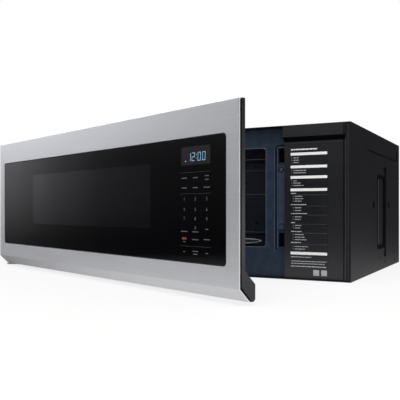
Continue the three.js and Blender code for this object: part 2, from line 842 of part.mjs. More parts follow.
function driveCoupler() {
  const top = rollerTop;
  const bottom = top - couplerHeight;
  let coupler = bar("z", bottom, top, couplerRadius * 0.55, [0, 0], smallSides * 2);
  for (let i = 0; i < 3; i++) {
    const arm = blockAt(couplerRadius / 2, 0, couplerRadius, 5, bottom, top).rotate([0, 0, i * 120]);
    coupler = join(coupler, arm);
  }
  const bore = bar("z", bottom - past, top - 2, motorShaftRadius + runGap, [0, 0], smallSides);
  return cut(coupler, bore);
}

function rollerRing() {
  const [low, high] = [rollerMiddleZ - ringHeight / 2, rollerMiddleZ + ringHeight / 2];
  const [inner, outer] = [ringRadius - ringWidth / 2, ringRadius + ringWidth / 2];
  const section = [[inner, low], [outer, low], [outer, high], [inner, high], [inner, low]];
  const axleEnd = rollerTrack + rollerWidth / 2 + 1;
  let ring = turned(section, 36);
  for (let i = 0; i < rollerCount; i++) {
    const axle = bar("x", ringRadius, axleEnd, rollerAxleRadius, [0, rollerMiddleZ], smallSides);
    ring = join(ring, axle.rotate([0, 0, (i * 360) / rollerCount]));
  }
  return ring;
}

function roller(index) {
  const span = [rollerTrack - rollerWidth / 2, rollerTrack + rollerWidth / 2];
  const wheel = cut(
    bar("x", ...span, rollerRadius, [0, rollerMiddleZ]),
    bar("x", 0, 2 * rollerTrack, rollerAxleRadius + runGap, [0, rollerMiddleZ], smallSides),
  );
  return wheel.rotate([0, 0, (index * 360) / rollerCount]);
}

function turntableMotor() {
  const top = wellFloor - linerSheet - seatGap;
  const can = bar("z", top - motorHeight, top, motorRadius, [0, 0]);
  const lug = blockAt(0, 0, 2 * motorRadius + 16, 12, top - 1.5, top);
  const shaft = bar("z", top - 1, rollerTop - 2 - seatGap, motorShaftRadius, [0, 0], smallSides);
  return join(can, lug, shaft);
}

// ---------------------------------------------------------------- microwave source and bay

const guideAxis = [guideMiddleY, guideMiddleZ];

function waveguide() {
  const left = cavityRight + linerSheet + seatGap;
  const spanY = [guideMiddleY - guideLength / 2, guideMiddleY + guideLength / 2];
  const spanZ = [guideMiddleZ - guideHeight / 2, guideMiddleZ + guideHeight / 2];
  const box = block([left, left + guideDepth], spanY, spanZ);
  const room = block(
    [left - past, left + guideDepth - guideSheet],
    [spanY[0] + guideSheet, spanY[1] - guideSheet],
    [spanZ[0] + guideSheet, spanZ[1] - guideSheet],
  );
  return cut(box, room, bar("x", left, left + guideDepth + past, antennaRadius + 2, guideAxis));
}

const waveguideCover = () =>
  block(
    [cavityRight - micaSheet - seatGap, cavityRight - seatGap],
    [guideMiddleY - guideLength / 2 + micaLedge, guideMiddleY + guideLength / 2 - micaLedge],
    [guideMiddleZ - guideHeight / 2 + micaLedge, guideMiddleZ + guideHeight / 2 - micaLedge],
  );

function magnetron() {
  const left = cavityRight + linerSheet + 2 * seatGap + guideDepth;
  const right = left + magnetronDepth;
  const yokeBack = left + yokeLength;
  const spanY = [guideMiddleY - magnetronWidth / 2, guideMiddleY + magnetronWidth / 2];
  const [bottom, top] = [guideMiddleZ - magnetronHeight / 2, guideMiddleZ + magnetronHeight / 2];
  const ends = [left, yokeBack - yokeSheet].map((x) => block([x, x + yokeSheet], spanY, [bottom, top]));
  const plates = [bottom, top - yokeSheet].map((z) => block([left, yokeBack], spanY, [z, z + yokeSheet]));
  const core = bar("x", left + 1, yokeBack + 1, magnetronCore, guideAxis);
  const filterBox = block(
    [yokeBack - yokeSheet, right],
    [guideMiddleY - filterBoxWidth / 2, guideMiddleY + filterBoxWidth / 2],
    [bottom + filterBoxInset, top - filterBoxInset],
  );
  const antenna = bar("x", left - antennaLength, left + 1, antennaRadius, guideAxis);
  const fins = [];
  for (let i = 1; i <= finCount; i++) {
    const x = left + (i * yokeLength) / (finCount + 1);
    fins.push(block([x, x + finSheet], spanY, [bottom + 1, top - 1]));
  }
  return join(...ends, ...plates, core, filterBox, antenna, ...fins);
}

const transformerX = halfWidth - transformerInset;

function transformer() {
  const at = [transformerX, rearY - transformerRearInset];
  const floor = baseSheet + seatGap;
  const top = floor + transformerHeight;
  const foot = blockAt(...at, transformerWidth + 2 * footLip, coreDepth, floor, floor + 3);
  const core = blockAt(...at, transformerWidth, coreDepth, floor, top);
  const coil = blockAt(...at, coilWidth, transformerDepth, floor + coilInset, top - coilInset);
  return join(foot, core, coil);
}

function capacitor() {
  const floor = baseSheet + seatGap;
  const y = behind(capacitorSetback);
  const half = capacitorLength / 2 - capacitorRadius;
  const can = new THREE.Shape();
  can.absarc(transformerX + half, y, capacitorRadius, -Math.PI / 2, Math.PI / 2, false);
  can.absarc(transformerX - half, y, capacitorRadius, Math.PI / 2, 1.5 * Math.PI, false);
  const body = alongZ(can, [floor, floor + capacitorHeight], smallSides);
  const terminals = [-1, 1].map((side) =>
    blockAt(transformerX + side * 14, y, 6, 1.2, floor + capacitorHeight - 1, floor + capacitorHeight + 9),
  );
  return join(body, ...terminals);
}

const fanMiddleY = rearY - rearSheet - seatGap - fanDepth / 2;

function fanShroud() {
  const spanY = [fanMiddleY - fanDepth / 2, fanMiddleY + fanDepth / 2];
  const half = fanFrame / 2;
  const frame = block([fanX - half, fanX + half], spanY, [fanZ - half, fanZ + half]);
  const throat = bar("y", spanY[0] - past, spanY[1] + past, fanRadius + 3, [fanX, fanZ], 28);
  const hub = bar("y", spanY[0], spanY[0] + 8, 16, [fanX, fanZ]);
  const axle = bar("y", spanY[0] + 7, spanY[1] - 3, 2, [fanX, fanZ], smallSides);
  const struts = [0, 90].map((turn) =>
    block([-fanRadius - 5, fanRadius + 5], [spanY[0], spanY[0] + 4], [-3, 3])
      .rotate([0, turn, 0])
      .translate([fanX, 0, fanZ]),
  );
  return join(cut(frame, throat), ...struts, hub, axle);
}

// Built round the origin, facing along Y, then set in the shroud.
function fanBlade() {
  const half = 5.5;
  let rotor = bar("y", -half, half, 15, [0, 0]);
  for (let i = 0; i < fanBlades; i++) {
    const blade = block([12, fanRadius], [-1, 1], [-9, 9])
      .rotate([32, 0, 0])
      .rotate([0, (i * 360) / fanBlades, 0]);
    rotor = join(rotor, blade);
  }
  const trimmed = rotor.intersect(bar("y", -half, half, fanRadius, [0, 0], 28));
  return cut(trimmed, bar("y", -half - past, half + past, 2 + runGap, [0, 0], smallSides));
}

function powerBoard() {
  const y = behind(boardSetback);
  const right = innerWidth - seatGap;
  const face = right - boardSheet / 2;
  const top = ceilingZ - boardDrop;
  const bottom = top - boardHeight;
  const board = block([right - boardSheet, right], [y - boardLength / 2, y + boardLength / 2], [bottom, top]);
  const parts = boardParts.map(([reach, along, length, up, height]) => {
    const spanY = [y + along - length / 2, y + along + length / 2];
    return block([right - reach, face], spanY, [bottom + up, bottom + up + height]);
  });
  const cans = boardCans.map(([reach, radius, along, up]) =>
    bar("x", right - reach, face, radius, [y + along, bottom + up], smallSides),
  );
  return join(board, ...parts, ...cans);
}

function cavityLamp() {
  const left = cavityRight + linerSheet + seatGap;
  const y = housingFront + housingDepth + lampGap + lampWidth / 2;
  const top = cavityCeiling - lampDrop;
  const across = [y - lampWidth / 2, y + lampWidth / 2];
  const holder = block([left, left + lampDepth], across, [top - lampHeight, top]);
  const socket = left + lampDepth;
  const bulb = bar("x", socket - 1, socket + bulbLength, bulbRadius, [y, top - lampHeight / 2], smallSides);
  return join(holder, bulb);
}

function cordGland() {
  const stemLength = 7;
  const collar = { width: 4, height: 2 };
  const seat = ceilingZ - seatGap;
  const stem = bar("z", ceilingZ - stemLength, bodyHeight, glandRadius, glandAt);
  const flange = bar("z", seat - collar.height, seat, glandRadius + collar.width, glandAt);
  const bore = bar("z", ceilingZ - stemLength - past, bodyHeight + past, glandBore, glandAt, smallSides * 2);
  return cut(join(stem, flange), bore);
}

// ---------------------------------------------------------------- hood

// The scroll's outline in (Y, Z): round below, with straight walls up to the outlet.
function scrollOutline(radius, topZ) {
  const shape = new THREE.Shape();
  shape.moveTo(blowerY + radius, topZ);
  shape.lineTo(blowerY - radius, topZ);
  shape.lineTo(blowerY - radius, blowerZ);
  shape.absarc(blowerY, blowerZ, radius, Math.PI, 2 * Math.PI, false);
  shape.closePath();
  return shape;
}

const bayHalf = blowerGap - 6; // half the width of the motor's bay, between the scrolls

function blowerHousing() {
  const end = scrollHalf;
  const top = ceilingZ - seatGap;
  const hull = alongX(scrollOutline(scrollRadius, top), [-end, end], 8);
  let housing = hull;
  for (const side of [-1, 1]) {
    const span = rising(side * (bayHalf + scrollSheet), side * (end - scrollSheet));
    housing = cut(housing, alongX(scrollOutline(scrollRadius - scrollSheet, top + past), span, 8));
  }
  const motorBay = block(
    [-bayHalf, bayHalf],
    [blowerY - scrollRadius - past, blowerY + scrollRadius + past],
    [blowerZ - blowerMotorRadius - seatGap, top + past],
  );
  const through = [-end - past, end + past];
  const inlets = bar("x", ...through, blowerRadius - 8, [blowerY, blowerZ]);
  const damperHoles = bar("x", ...through, damperPinRadius + runGap, [damperY, damperZ], smallSides);
  // room for the damper's rear edge, which dips as it opens
  const dip = damperDrop + damperSheet + damperGap;
  const dipRoom = block(
    [-blowerGap, blowerGap],
    [damperY - damperGap, damperY + dip],
    [damperZ - damperGap, top + past],
  );
  return cut(housing, motorBay, inlets, damperHoles, dipRoom);
}

function blowerMotor() {
  const half = bayHalf - 2;
  const axis = [blowerY, blowerZ];
  const can = bar("x", -half, half, blowerMotorRadius, axis);
  return cut(can, bar("x", -half - past, half + past, blowerShaftRadius + runGap, axis, smallSides));
}

// One wheel, with its closed disc at the motor's side.
function blowerWheel(side) {
  const near = side * blowerGap;
  const far = side * (blowerGap + blowerWheelLength);
  const at = [0, 0];
  const hubSpan = rising(near, near + side * hubLength);
  const ringSpan = rising(far, far - side * 3);
  const disc = bar("x", ...rising(near, near + side * 2), blowerRadius, at, 36);
  const hub = bar("x", ...hubSpan, 8, at, smallSides);
  const ringHole = bar("x", ringSpan[0] - past, ringSpan[1] + past, blowerRadius - bladeWidth, at, 36);
  const ring = cut(bar("x", ...ringSpan, blowerRadius, at, 36), ringHole);
  const bladeSpan = rising(near + side, far - side);
  const blades = [];
  for (let i = 0; i < blowerBlades; i++) {
    const blade = block(bladeSpan, [-0.6, 0.6], [-bladeWidth / 2, bladeWidth / 2]).rotate([30, 0, 0]);
    blades.push(blade.translate([0, 0, blowerRadius - 4]).rotate([(i * 360) / blowerBlades, 0, 0]));
  }
  const bore = bar("x", hubSpan[0] - past, hubSpan[1] + past, blowerShaftRadius + runGap, at, smallSides);
  return cut(join(disc, hub, ring, ...blades), bore);
}

function blowerShaft() {
  const half = blowerGap + hubLength - 1;
  return bar("x", -half, half, blowerShaftRadius, [0, 0], smallSides);
}

// Built round its pivot, shut.
function damperFlap() {
  const half = outletWidth / 2 - damperGap;
  const earHalf = 3;
  const top = damperDrop + damperSheet;
  let flap = block([-half, half], [damperEdge + damperGap - outletDepth, 0], [damperDrop, top]);
  for (const side of [-1, 1]) {
    const ear = block(rising(side * (half - 2), side * half), [-earHalf, earHalf], [-earHalf, top]);
    const pin = bar("x", ...rising(side * (half - 1), side * scrollHalf), damperPinRadius, [0, 0], smallSides);
    flap = join(flap, ear, pin);
  }
  return flap;
}

function greaseFilter(side) {
  const floor = baseSheet + seatGap;
  const inside = [filterWidth - 2 * filterFrame, filterDepth - 2 * filterFrame];
  const at = filterAt(side);
  const frame = cut(
    blockAt(...at, filterWidth, filterDepth, floor, floor + filterHeight),
    blockAt(...at, ...inside, floor - past, floor + filterHeight + past),
  );
  const middle = floor + filterHeight / 2;
  const held = inside.map((size) => size + 2); // the mesh reaches into its frame
  return join(frame, blockAt(...at, ...held, middle - filterMesh / 2, middle + filterMesh / 2));
}

function charcoalFilter() {
  const top = ceilingZ - seatGap;
  return blockAt(0, behind(charcoalSetback), charcoalLength, charcoalDepth, top - charcoalHeight, top);
}

function lightLens(side) {
  const floor = baseSheet + seatGap;
  const flange = blockAt(...lightAt(side), lensWidth, lensDepth, floor, floor + lensHeight);
  const room = 2 * (seatGap + lensLip);
  const bulge = blockAt(...lightAt(side), lensWidth - room, lensDepth - room, seatGap, floor + 1);
  return join(flange, bulge);
}

function lightModule(side) {
  const floor = baseSheet + 2 * seatGap + lensHeight;
  const edge = 8; // lens past the module, and the module's ears past the lens
  return join(
    blockAt(...lightAt(side), lensWidth - edge, lensDepth - edge, floor, floor + 10),
    blockAt(...lightAt(side), lensWidth + 2 * edge, 12, floor, floor + 2),
  );
}

// ---------------------------------------------------------------- door, drawn shut in its own frame

// The door's frame starts at the hinge axis: u along the door, t from its front to its back.
const alongDoor = (u) => u - hingeInset;
const throughDoor = (t) => t - hingeSetback;
const doorBlock = ([u0, u1], [t0, t1], z) =>
  block([alongDoor(u0), alongDoor(u1)], [throughDoor(t0), throughDoor(t1)], z);
const doorProfile = (points) => outline(points.map(([t, z]) => [throughDoor(t), z]));
const bevelTop = doorBottom + chinBevel;
const chinTop = doorBottom + chinBack;
const shoulderTop = chinTop + chinShoulder;

const lipEnd = chinBevel + skinLip;
const foldRise = 0.4; // share of a fold's width that its inner line lies above the outer
const foldRun = 0.7;

function doorSkin() {
  // the fold of a 45 degree bevel, moved in by the sheet's thickness
  const fold = skinSheet * Math.tan(Math.PI / 8);
  const sheet = doorProfile([
    [0, doorTop],
    [0, bevelTop],
    [chinBevel, doorBottom],
    [lipEnd, doorBottom],
    [lipEnd, doorBottom + skinSheet],
    [chinBevel + fold, doorBottom + skinSheet],
    [skinSheet, bevelTop + fold],
    [skinSheet, doorTop - skinSheet],
    [skinReturn, doorTop - skinSheet],
    [skinReturn, doorTop],
  ]);
  const edge = doorProfile([
    [0, doorTop],
    [0, bevelTop],
    [chinBevel, doorBottom],
    [lipEnd, doorBottom],
    [lipEnd, doorBottom + skinReturn * 0.6],
    [skinReturn, bevelTop + skinReturn * foldRise],
    [skinReturn, doorTop],
  ]);
  let skin = alongX(sheet, [alongDoor(0), alongDoor(doorWidth)]);
  for (const u of [0, doorWidth - skinSheet]) {
    skin = join(skin, alongX(edge, [alongDoor(u), alongDoor(u + skinSheet)]));
  }
  const acrossGlass = [alongDoor(glassLeft), alongDoor(glassRight)];
  const hole = roundedOutline(acrossGlass, [glassBottom, glassTop], glassCorner);
  const pinNotch = bar("z", doorBottom - past, bevelTop, hingePinRadius + 1, [0, 0], smallSides);
  return cut(skin, alongY(hole, [throughDoor(-past), throughDoor(past)], 6), pinNotch);
}

function doorGlass() {
  const panel = roundedOutline(
    [alongDoor(glassLeft + seatGap), alongDoor(glassRight - seatGap)],
    [glassBottom + seatGap, glassTop - seatGap],
    glassCorner - seatGap,
  );
  return alongY(panel, [throughDoor(glassRecess), throughDoor(glassRecess + glassThickness)], 6);
}

function doorFrame() {
  const front = skinSheet + seatGap;
  const chinFloor = doorBottom + front;
  const slope = (front + seatGap) * foldRun;
  const top = doorTop - front;
  const lipFront = lipEnd + seatGap;
  const back = [
    [chinDepth - frameRound, doorBottom],
    [chinDepth, doorBottom + frameRound],
    [chinDepth, chinTop],
    [doorSlab, shoulderTop],
  ];
  const body = doorProfile([
    [front, top],
    [front, bevelTop + slope],
    [chinBevel + slope, chinFloor],
    [lipFront, chinFloor],
    [lipFront, doorBottom],
    ...back,
    [doorSlab, top],
  ]);
  const cap = doorProfile([
    [skinReturn + seatGap, top + skinSheet],
    [skinReturn + seatGap, bevelTop + skinReturn * foldRise + slope],
    [lipFront, doorBottom + skinReturn * 0.6 + slope],
    [lipFront, doorBottom],
    ...back,
    [doorSlab, top + skinSheet],
  ]);
  let frame = alongX(body, [alongDoor(front), alongDoor(doorWidth - front)]);
  // each cap reaches a little into the body
  const capSpans = [
    [frameReveal, front + frameReveal],
    [doorWidth - front - frameReveal, doorWidth - frameReveal],
  ];
  for (const [left, right] of capSpans) {
    frame = join(frame, alongX(cap, [alongDoor(left), alongDoor(right)]));
  }
  // seat of the glass, and the openings behind it for the window and the controls
  const seat = doorBlock(
    [glassLeft - seatGap, glassRight + seatGap],
    [0, glassRecess + glassThickness + seatGap],
    [glassBottom - seatGap, glassTop + seatGap],
  );
  const windowHole = doorBlock(
    [windowLeft - windowMargin, windowRight + windowMargin],
    [0, doorSlab + past],
    [windowBottom - windowMargin, windowTop + windowMargin],
  );
  const controlHole = doorBlock(
    [controlLeft - 2, controlRight + 2],
    [0, doorSlab + past],
    [glassBottom + controlMargin - 2, glassTop - controlMargin + 2],
  );
  frame = cut(frame, seat, windowHole, controlHole);
  // room for the chin to swing past the cabinet at the hinge
  const swing = [hingeSetback - 6, chinDepth + past];
  frame = cut(frame, doorBlock([-past, hingeInset], swing, [doorBottom - past, doorTop + past]));
  for (const low of [doorBottom, top - hingeBossHeight]) {
    const z = [low, low + hingeBossHeight];
    const boss = bar("z", z[0], z[1], hingeBossRadius, [0, 0]);
    const acrossBoss = [hingeInset - hingeBossRadius, hingeInset + hingeBossRadius];
    frame = join(frame, boss, doorBlock(acrossBoss, [doorSlab - 1, hingeSetback], z));
  }
  // the skin's room in the lower boss
  const skinRoom = doorProfile([
    [-past, bevelTop + slope],
    [front, bevelTop + slope],
    [chinBevel + slope, chinFloor],
    [lipFront, chinFloor],
    [lipFront, doorBottom - past],
    [-past, doorBottom - past],
  ]);
  frame = cut(frame, alongX(skinRoom, [alongDoor(-past), alongDoor(2 * hingeInset + past)]));
  for (const [low, high] of [
    [doorBottom - past, doorBottom + hingePinBite + 1],
    [doorTop - hingePinBite - 1, doorTop + past],
  ]) {
    frame = cut(frame, bar("z", low, high, hingePinRadius + runGap, [0, 0], smallSides));
  }
  return frame;
}

const chokeGrooveFront = chinDepth - chokeGrooveLead;
const slopeAtGroove = chinTop + (chinShoulder * chokeGrooveLead) / (chinDepth - doorSlab);
const chokeBottom = Math.max(mouthSill - chokeOverlap, slopeAtGroove + seatGap + chokeSheet);
const chokeTop = cavityCeiling + chokeOverlap;
const chokeFront = doorSlab + seatGap;

function chokeFrame() {
  const ring = (inset, t) =>
    doorBlock([chokeLeft + inset, chokeRight - inset], t, [chokeBottom + inset, chokeTop - inset]);
  const outer = ring(0, [chokeFront, chokeDepth]);
  const bay = ring(chokeWall, [chokeFront - past, chokeDepth - chokeSheet]);
  const groove = cut(
    ring(chokeSheet, [chokeGrooveFront, chokeDepth + past]),
    ring(chokeWall - chokeSheet, [chokeGrooveFront - past, chokeDepth + 2 * past]),
  );
  const slopeTop = shoulderTop + seatGap;
  const hollow = doorBlock(
    [chokeLeft + chokeSheet, chokeRight - chokeSheet],
    [chokeFront - past, chokeGrooveFront - chokeSheet],
    [slopeTop + 2 * chokeSheet, chokeTop - chokeSheet],
  );
  const view = doorBlock(
    [windowLeft, windowRight],
    [chokeFront - past, chokeDepth + past],
    [windowBottom, windowTop],
  );
  const chinRoom = doorProfile([
    [doorSlab - past, slopeTop + past],
    [doorSlab + seatGap, slopeTop],
    [chinDepth + seatGap, slopeTop - chinShoulder],
    [chinDepth + seatGap, doorBottom - past],
    [doorSlab - past, doorBottom - past],
  ]);
  const chin = alongX(chinRoom, [alongDoor(chokeLeft - past), alongDoor(chokeRight + past)]);
  return cut(outer, bay, groove, hollow, view, chin);
}

function chokeCover() {
  const ring = (outer, inner, [t0, t1]) => {
    const area = (edge, t) =>
      doorBlock([chokeLeft + edge, chokeRight - edge], t, [chokeBottom + edge, chokeTop - edge]);
    return cut(area(outer, [t0, t1]), area(inner, [t0 - past, t1 + past]));
  };
  const lid = ring(0, chokeWall, [chokeDepth + seatGap, chokeDepth + seatGap + chokeCoverSheet]);
  const inset = chokeSheet + seatGap;
  const tuck = [chokeDepth - chokeTuck, chokeDepth + 2 * seatGap];
  const lips = [
    ring(inset, inset + chokeCoverSheet, tuck),
    ring(chokeWall - inset - chokeCoverSheet, chokeWall - inset, tuck),
  ];
  return join(lid, ...lips);
}

const windowSheet = (from, thickness) =>
  doorBlock(
    [windowLeft - windowMargin, windowRight + windowMargin],
    [from, from + thickness],
    [windowBottom - windowMargin, windowTop + windowMargin],
  );

const perforatedScreen = () => windowSheet(chokeDepth - chokeSheet - seatGap - screenSheet, screenSheet);
const innerWindow = () => windowSheet(chokeDepth + seatGap, innerWindowSheet);

const controlBoard = () =>
  doorBlock(
    [controlLeft, controlRight],
    [controlBoardSetback, controlBoardSetback + controlBoardSheet],
    [glassBottom + controlMargin, glassTop - controlMargin],
  );

const displayModule = () =>
  doorBlock(
    [controlLeft + displayLeftMargin, controlRight - displayRightMargin],
    [glassRecess + glassThickness + seatGap, controlBoardSetback - seatGap],
    [glassTop - displayDrop - displayHeight, glassTop - displayDrop],
  );

const rearCoverDepth = doorSlab + rearCoverProud;
const rearCoverBottom = shoulderTop + rearCoverRise;
const leverBack = rearCoverDepth - rearCoverWall - seatGap;
const leverBottom = lowerHookZ - hookHeight / 2 - 2;
const leverTop = upperHookZ + hookHeight / 2 + 2;
const rearCoverTop = doorTop - rearCoverDrop;
const rearCoverRight = doorWidth - rearCoverInset;

function rearCover() {
  const wall = rearCoverWall;
  const shell = cut(
    doorBlock([rearCoverLeft, rearCoverRight], [chokeFront, rearCoverDepth], [rearCoverBottom, rearCoverTop]),
    doorBlock(
      [rearCoverLeft + wall, rearCoverRight - wall],
      [chokeFront - past, rearCoverDepth - wall],
      [rearCoverBottom + wall, rearCoverTop - wall],
    ),
  );
  // the two walls that the lever slides between
  const besideLever = (side, t, z) => {
    const inner = leverU + side * (leverWidth / 2 + seatGap);
    return doorBlock(rising(inner, inner + side * wall), t, z);
  };
  const guideT = [leverBack - leverDepth, rearCoverDepth - wall / 2];
  const guides = [-1, 1].map((side) => besideLever(side, guideT, [leverBottom + 20, leverTop - 20]));
  // a bridge over the lever for the top of its spring
  const seatZ = [springFoot + springLength + seatGap, springFoot + springLength + seatGap + 3];
  const seatFront = leverBack - leverDepth - fingerReach;
  const bridgeHalf = leverWidth / 2 + seatGap + wall;
  const bridge = doorBlock(
    [leverU - bridgeHalf, leverU + bridgeHalf],
    [seatFront, leverBack - leverDepth - seatGap],
    seatZ,
  );
  const posts = [-1, 1].map((side) => besideLever(side, [seatFront, leverBack], seatZ));
  let cover = join(shell, ...guides, bridge, ...posts);
  for (const z of [upperHookZ, lowerHookZ]) {
    const hookRoom = doorBlock(
      [leverU - hookWidth / 2 - 1, leverU + hookWidth / 2 + 1],
      [leverBack - leverDepth - 1, rearCoverDepth + past],
      [z - hookHeight / 2 - hookNose - 1, z + hookHeight / 2 + latchTravel + 1],
    );
    cover = cut(cover, hookRoom);
  }
  return cover;
}

function latchLever() {
  let lever = doorBlock(
    [leverU - leverWidth / 2, leverU + leverWidth / 2],
    [leverBack - leverDepth, leverBack],
    [leverBottom, leverTop],
  );
  for (const z of [upperHookZ, lowerHookZ]) {
    const arm = doorBlock(
      [leverU - hookWidth / 2, leverU + hookWidth / 2],
      [leverBack - 1, hookReach],
      [z - hookHeight / 2, z + hookHeight / 2],
    );
    const nose = doorBlock(
      [leverU - hookWidth / 2, leverU + hookWidth / 2],
      [hookReach - hookNoseLength, hookReach],
      [z - hookHeight / 2 - hookNose, z],
    );
    lever = join(lever, arm, nose);
  }
  // a finger that the spring pulls on
  const finger = doorBlock(
    [leverU - leverWidth / 2, leverU + leverWidth / 2],
    [leverBack - leverDepth - fingerReach, leverBack - 1],
    [springFoot - 3, springFoot - seatGap],
  );
  return join(lever, finger);
}

// The middle of the spring's wire at t from 0 to 1, from its foot to its top.
class Helix extends THREE.Curve {
  getPoint(t, target = new THREE.Vector3()) {
    const angle = 2 * Math.PI * springTurns * t;
    const back = leverBack - leverDepth - seatGap - springRadius - springWire;
    return target.set(
      alongDoor(leverU) + springRadius * Math.cos(angle),
      throughDoor(back) + springRadius * Math.sin(angle),
      springFoot + springWire + t * (springLength - 2 * springWire),
    );
  }
}

function latchSpring() {
  const wire = new THREE.Shape();
  wire.absarc(0, 0, springWire, 0, 2 * Math.PI, false);
  const route = { steps: springTurns * 8, extrudePath: new Helix(), curveSegments: 5 };
  return solid(new THREE.ExtrudeGeometry(wire, route));
}

// Points on the wire's middle that lie over half a turn apart give the least gap between the turns.
const turnPoints = new Helix().getPoints(springTurns * 24);
let springGap = Infinity;
for (let i = 0; i < turnPoints.length; i++) {
  for (let j = i + 13; j < turnPoints.length; j++) {
    springGap = Math.min(springGap, turnPoints[i].distanceTo(turnPoints[j]) - 2 * springWire);
  }
}
console.log(`latch_spring: least gap to itself ${springGap.toFixed(2)} mm`);

// ---------------------------------------------------------------- assembly

const microwave = new THREE.Group();
const cabinet = new THREE.Group();
microwave.add(cabinet);
piece(cabinet, "case_wrap", caseWrap(), finishes.casePaint);
piece(cabinet, "rear_plate", rearPlate(), finishes.zincSteel);
piece(cabinet, "base_plate", basePlate(), finishes.casePaint);
piece(cabinet, "face_plate", facePlate(), finishes.enamel);
piece(cabinet, "cavity_liner", cavityLiner(), finishes.enamel);
piece(cabinet, "control_side_panel", sidePanel(), finishes.blackPlastic);
piece(cabinet, "guide_label", guideLabel(), finishes.label);
for (const [name, top] of [["upper", true], ["lower", false]]) {
  piece(cabinet, `${name}_hinge_bracket`, hingeBracket(top), finishes.zincSteel);
  piece(cabinet, `${name}_hinge_pin`, hingePin(top), finishes.zincSteel);
}
piece(cabinet, "latch_housing", latchHousing(), finishes.whitePlastic);
const switches = {
  primary: upperHookZ,
  secondary: lowerHookZ - switchPitch / 2,
  monitor: lowerHookZ + switchPitch / 2,
};
for (const [name, z] of Object.entries(switches)) {
  piece(cabinet, `${name}_switch`, microSwitch(z), finishes.blackPlastic);
  piece(cabinet, `${name}_plunger`, plunger(z), finishes.whitePlastic);
}
piece(cabinet, "waveguide", waveguide(), finishes.zincSteel);
piece(cabinet, "waveguide_cover", waveguideCover(), finishes.mica);
piece(cabinet, "magnetron", magnetron(), finishes.aluminium);
piece(cabinet, "hv_transformer", transformer(), finishes.copper);
piece(cabinet, "hv_capacitor", capacitor(), finishes.aluminium);
piece(cabinet, "cooling_fan_shroud", fanShroud(), finishes.blackPlastic);
piece(cabinet, "power_board", powerBoard(), finishes.circuit);
piece(cabinet, "cavity_lamp", cavityLamp(), finishes.whitePlastic);
piece(cabinet, "cord_gland", cordGland(), finishes.blackPlastic);
piece(cabinet, "blower_housing", blowerHousing(), finishes.zincSteel);
piece(cabinet, "blower_motor", blowerMotor(), finishes.greyPlastic);
piece(cabinet, "charcoal_filter", charcoalFilter(), finishes.carbon);
for (const [name, side] of [["left", -1], ["right", 1]]) {
  piece(cabinet, `grease_filter_${name}`, greaseFilter(side), finishes.aluminium);
  piece(cabinet, `cooktop_light_lens_${name}`, lightLens(side), finishes.clearGlass);
  piece(cabinet, `cooktop_light_${name}`, lightModule(side), finishes.whitePlastic);
}

const coolingFan = new THREE.Group();
coolingFan.position.set(fanX, fanMiddleY + 3, fanZ);
piece(coolingFan, "fan_blade", fanBlade(), finishes.whitePlastic);

const damper = new THREE.Group();
damper.position.set(0, damperY, damperZ);
piece(damper, "damper_flap", damperFlap(), finishes.zincSteel);

const blower = new THREE.Group();
blower.position.set(0, blowerY, blowerZ);
piece(blower, "blower_shaft", blowerShaft(), finishes.zincSteel);
piece(blower, "blower_wheel_left", blowerWheel(-1), finishes.greyPlastic);
piece(blower, "blower_wheel_right", blowerWheel(1), finishes.greyPlastic);

const turntable = new THREE.Group();
turntable.position.set(trayMiddleX, trayMiddleY, 0);
piece(turntable, "turntable_motor", turntableMotor(), finishes.zincSteel);
piece(turntable, "drive_coupler", driveCoupler(), finishes.whitePlastic);
piece(turntable, "roller_ring", rollerRing(), finishes.whitePlastic);
for (let i = 0; i < rollerCount; i++) {
  piece(turntable, `roller_${i + 1}`, roller(i), finishes.whitePlastic);
}
piece(turntable, "glass_tray", glassTray(), finishes.clearGlass);

const door = new THREE.Group();
door.position.set(hingeX, hingeY, 0);
door.rotation.z = THREE.MathUtils.degToRad(-doorOpenAngle);
piece(door, "door_skin", doorSkin(), finishes.stainless);
piece(door, "door_glass", doorGlass(), finishes.blackGlass);
piece(door, "door_frame", doorFrame(), finishes.doorPlastic);
piece(door, "choke_frame", chokeFrame(), finishes.casePaint);
piece(door, "choke_cover", chokeCover(), finishes.blackPlastic);
piece(door, "perforated_screen", perforatedScreen(), finishes.casePaint);
piece(door, "inner_window", innerWindow(), finishes.clearGlass);
piece(door, "control_board", controlBoard(), finishes.circuit);
piece(door, "display_module", displayModule(), finishes.blackGlass);
piece(door, "door_rear_cover", rearCover(), finishes.blackPlastic);
piece(door, "latch_lever", latchLever(), finishes.whitePlastic);
piece(door, "latch_spring", latchSpring(), finishes.zincSteel);

microwave.add(coolingFan, damper, blower, turntable, door);

export default microwave;
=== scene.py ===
import json
import math
import bpy
import bmesh
from mathutils import Matrix, Vector


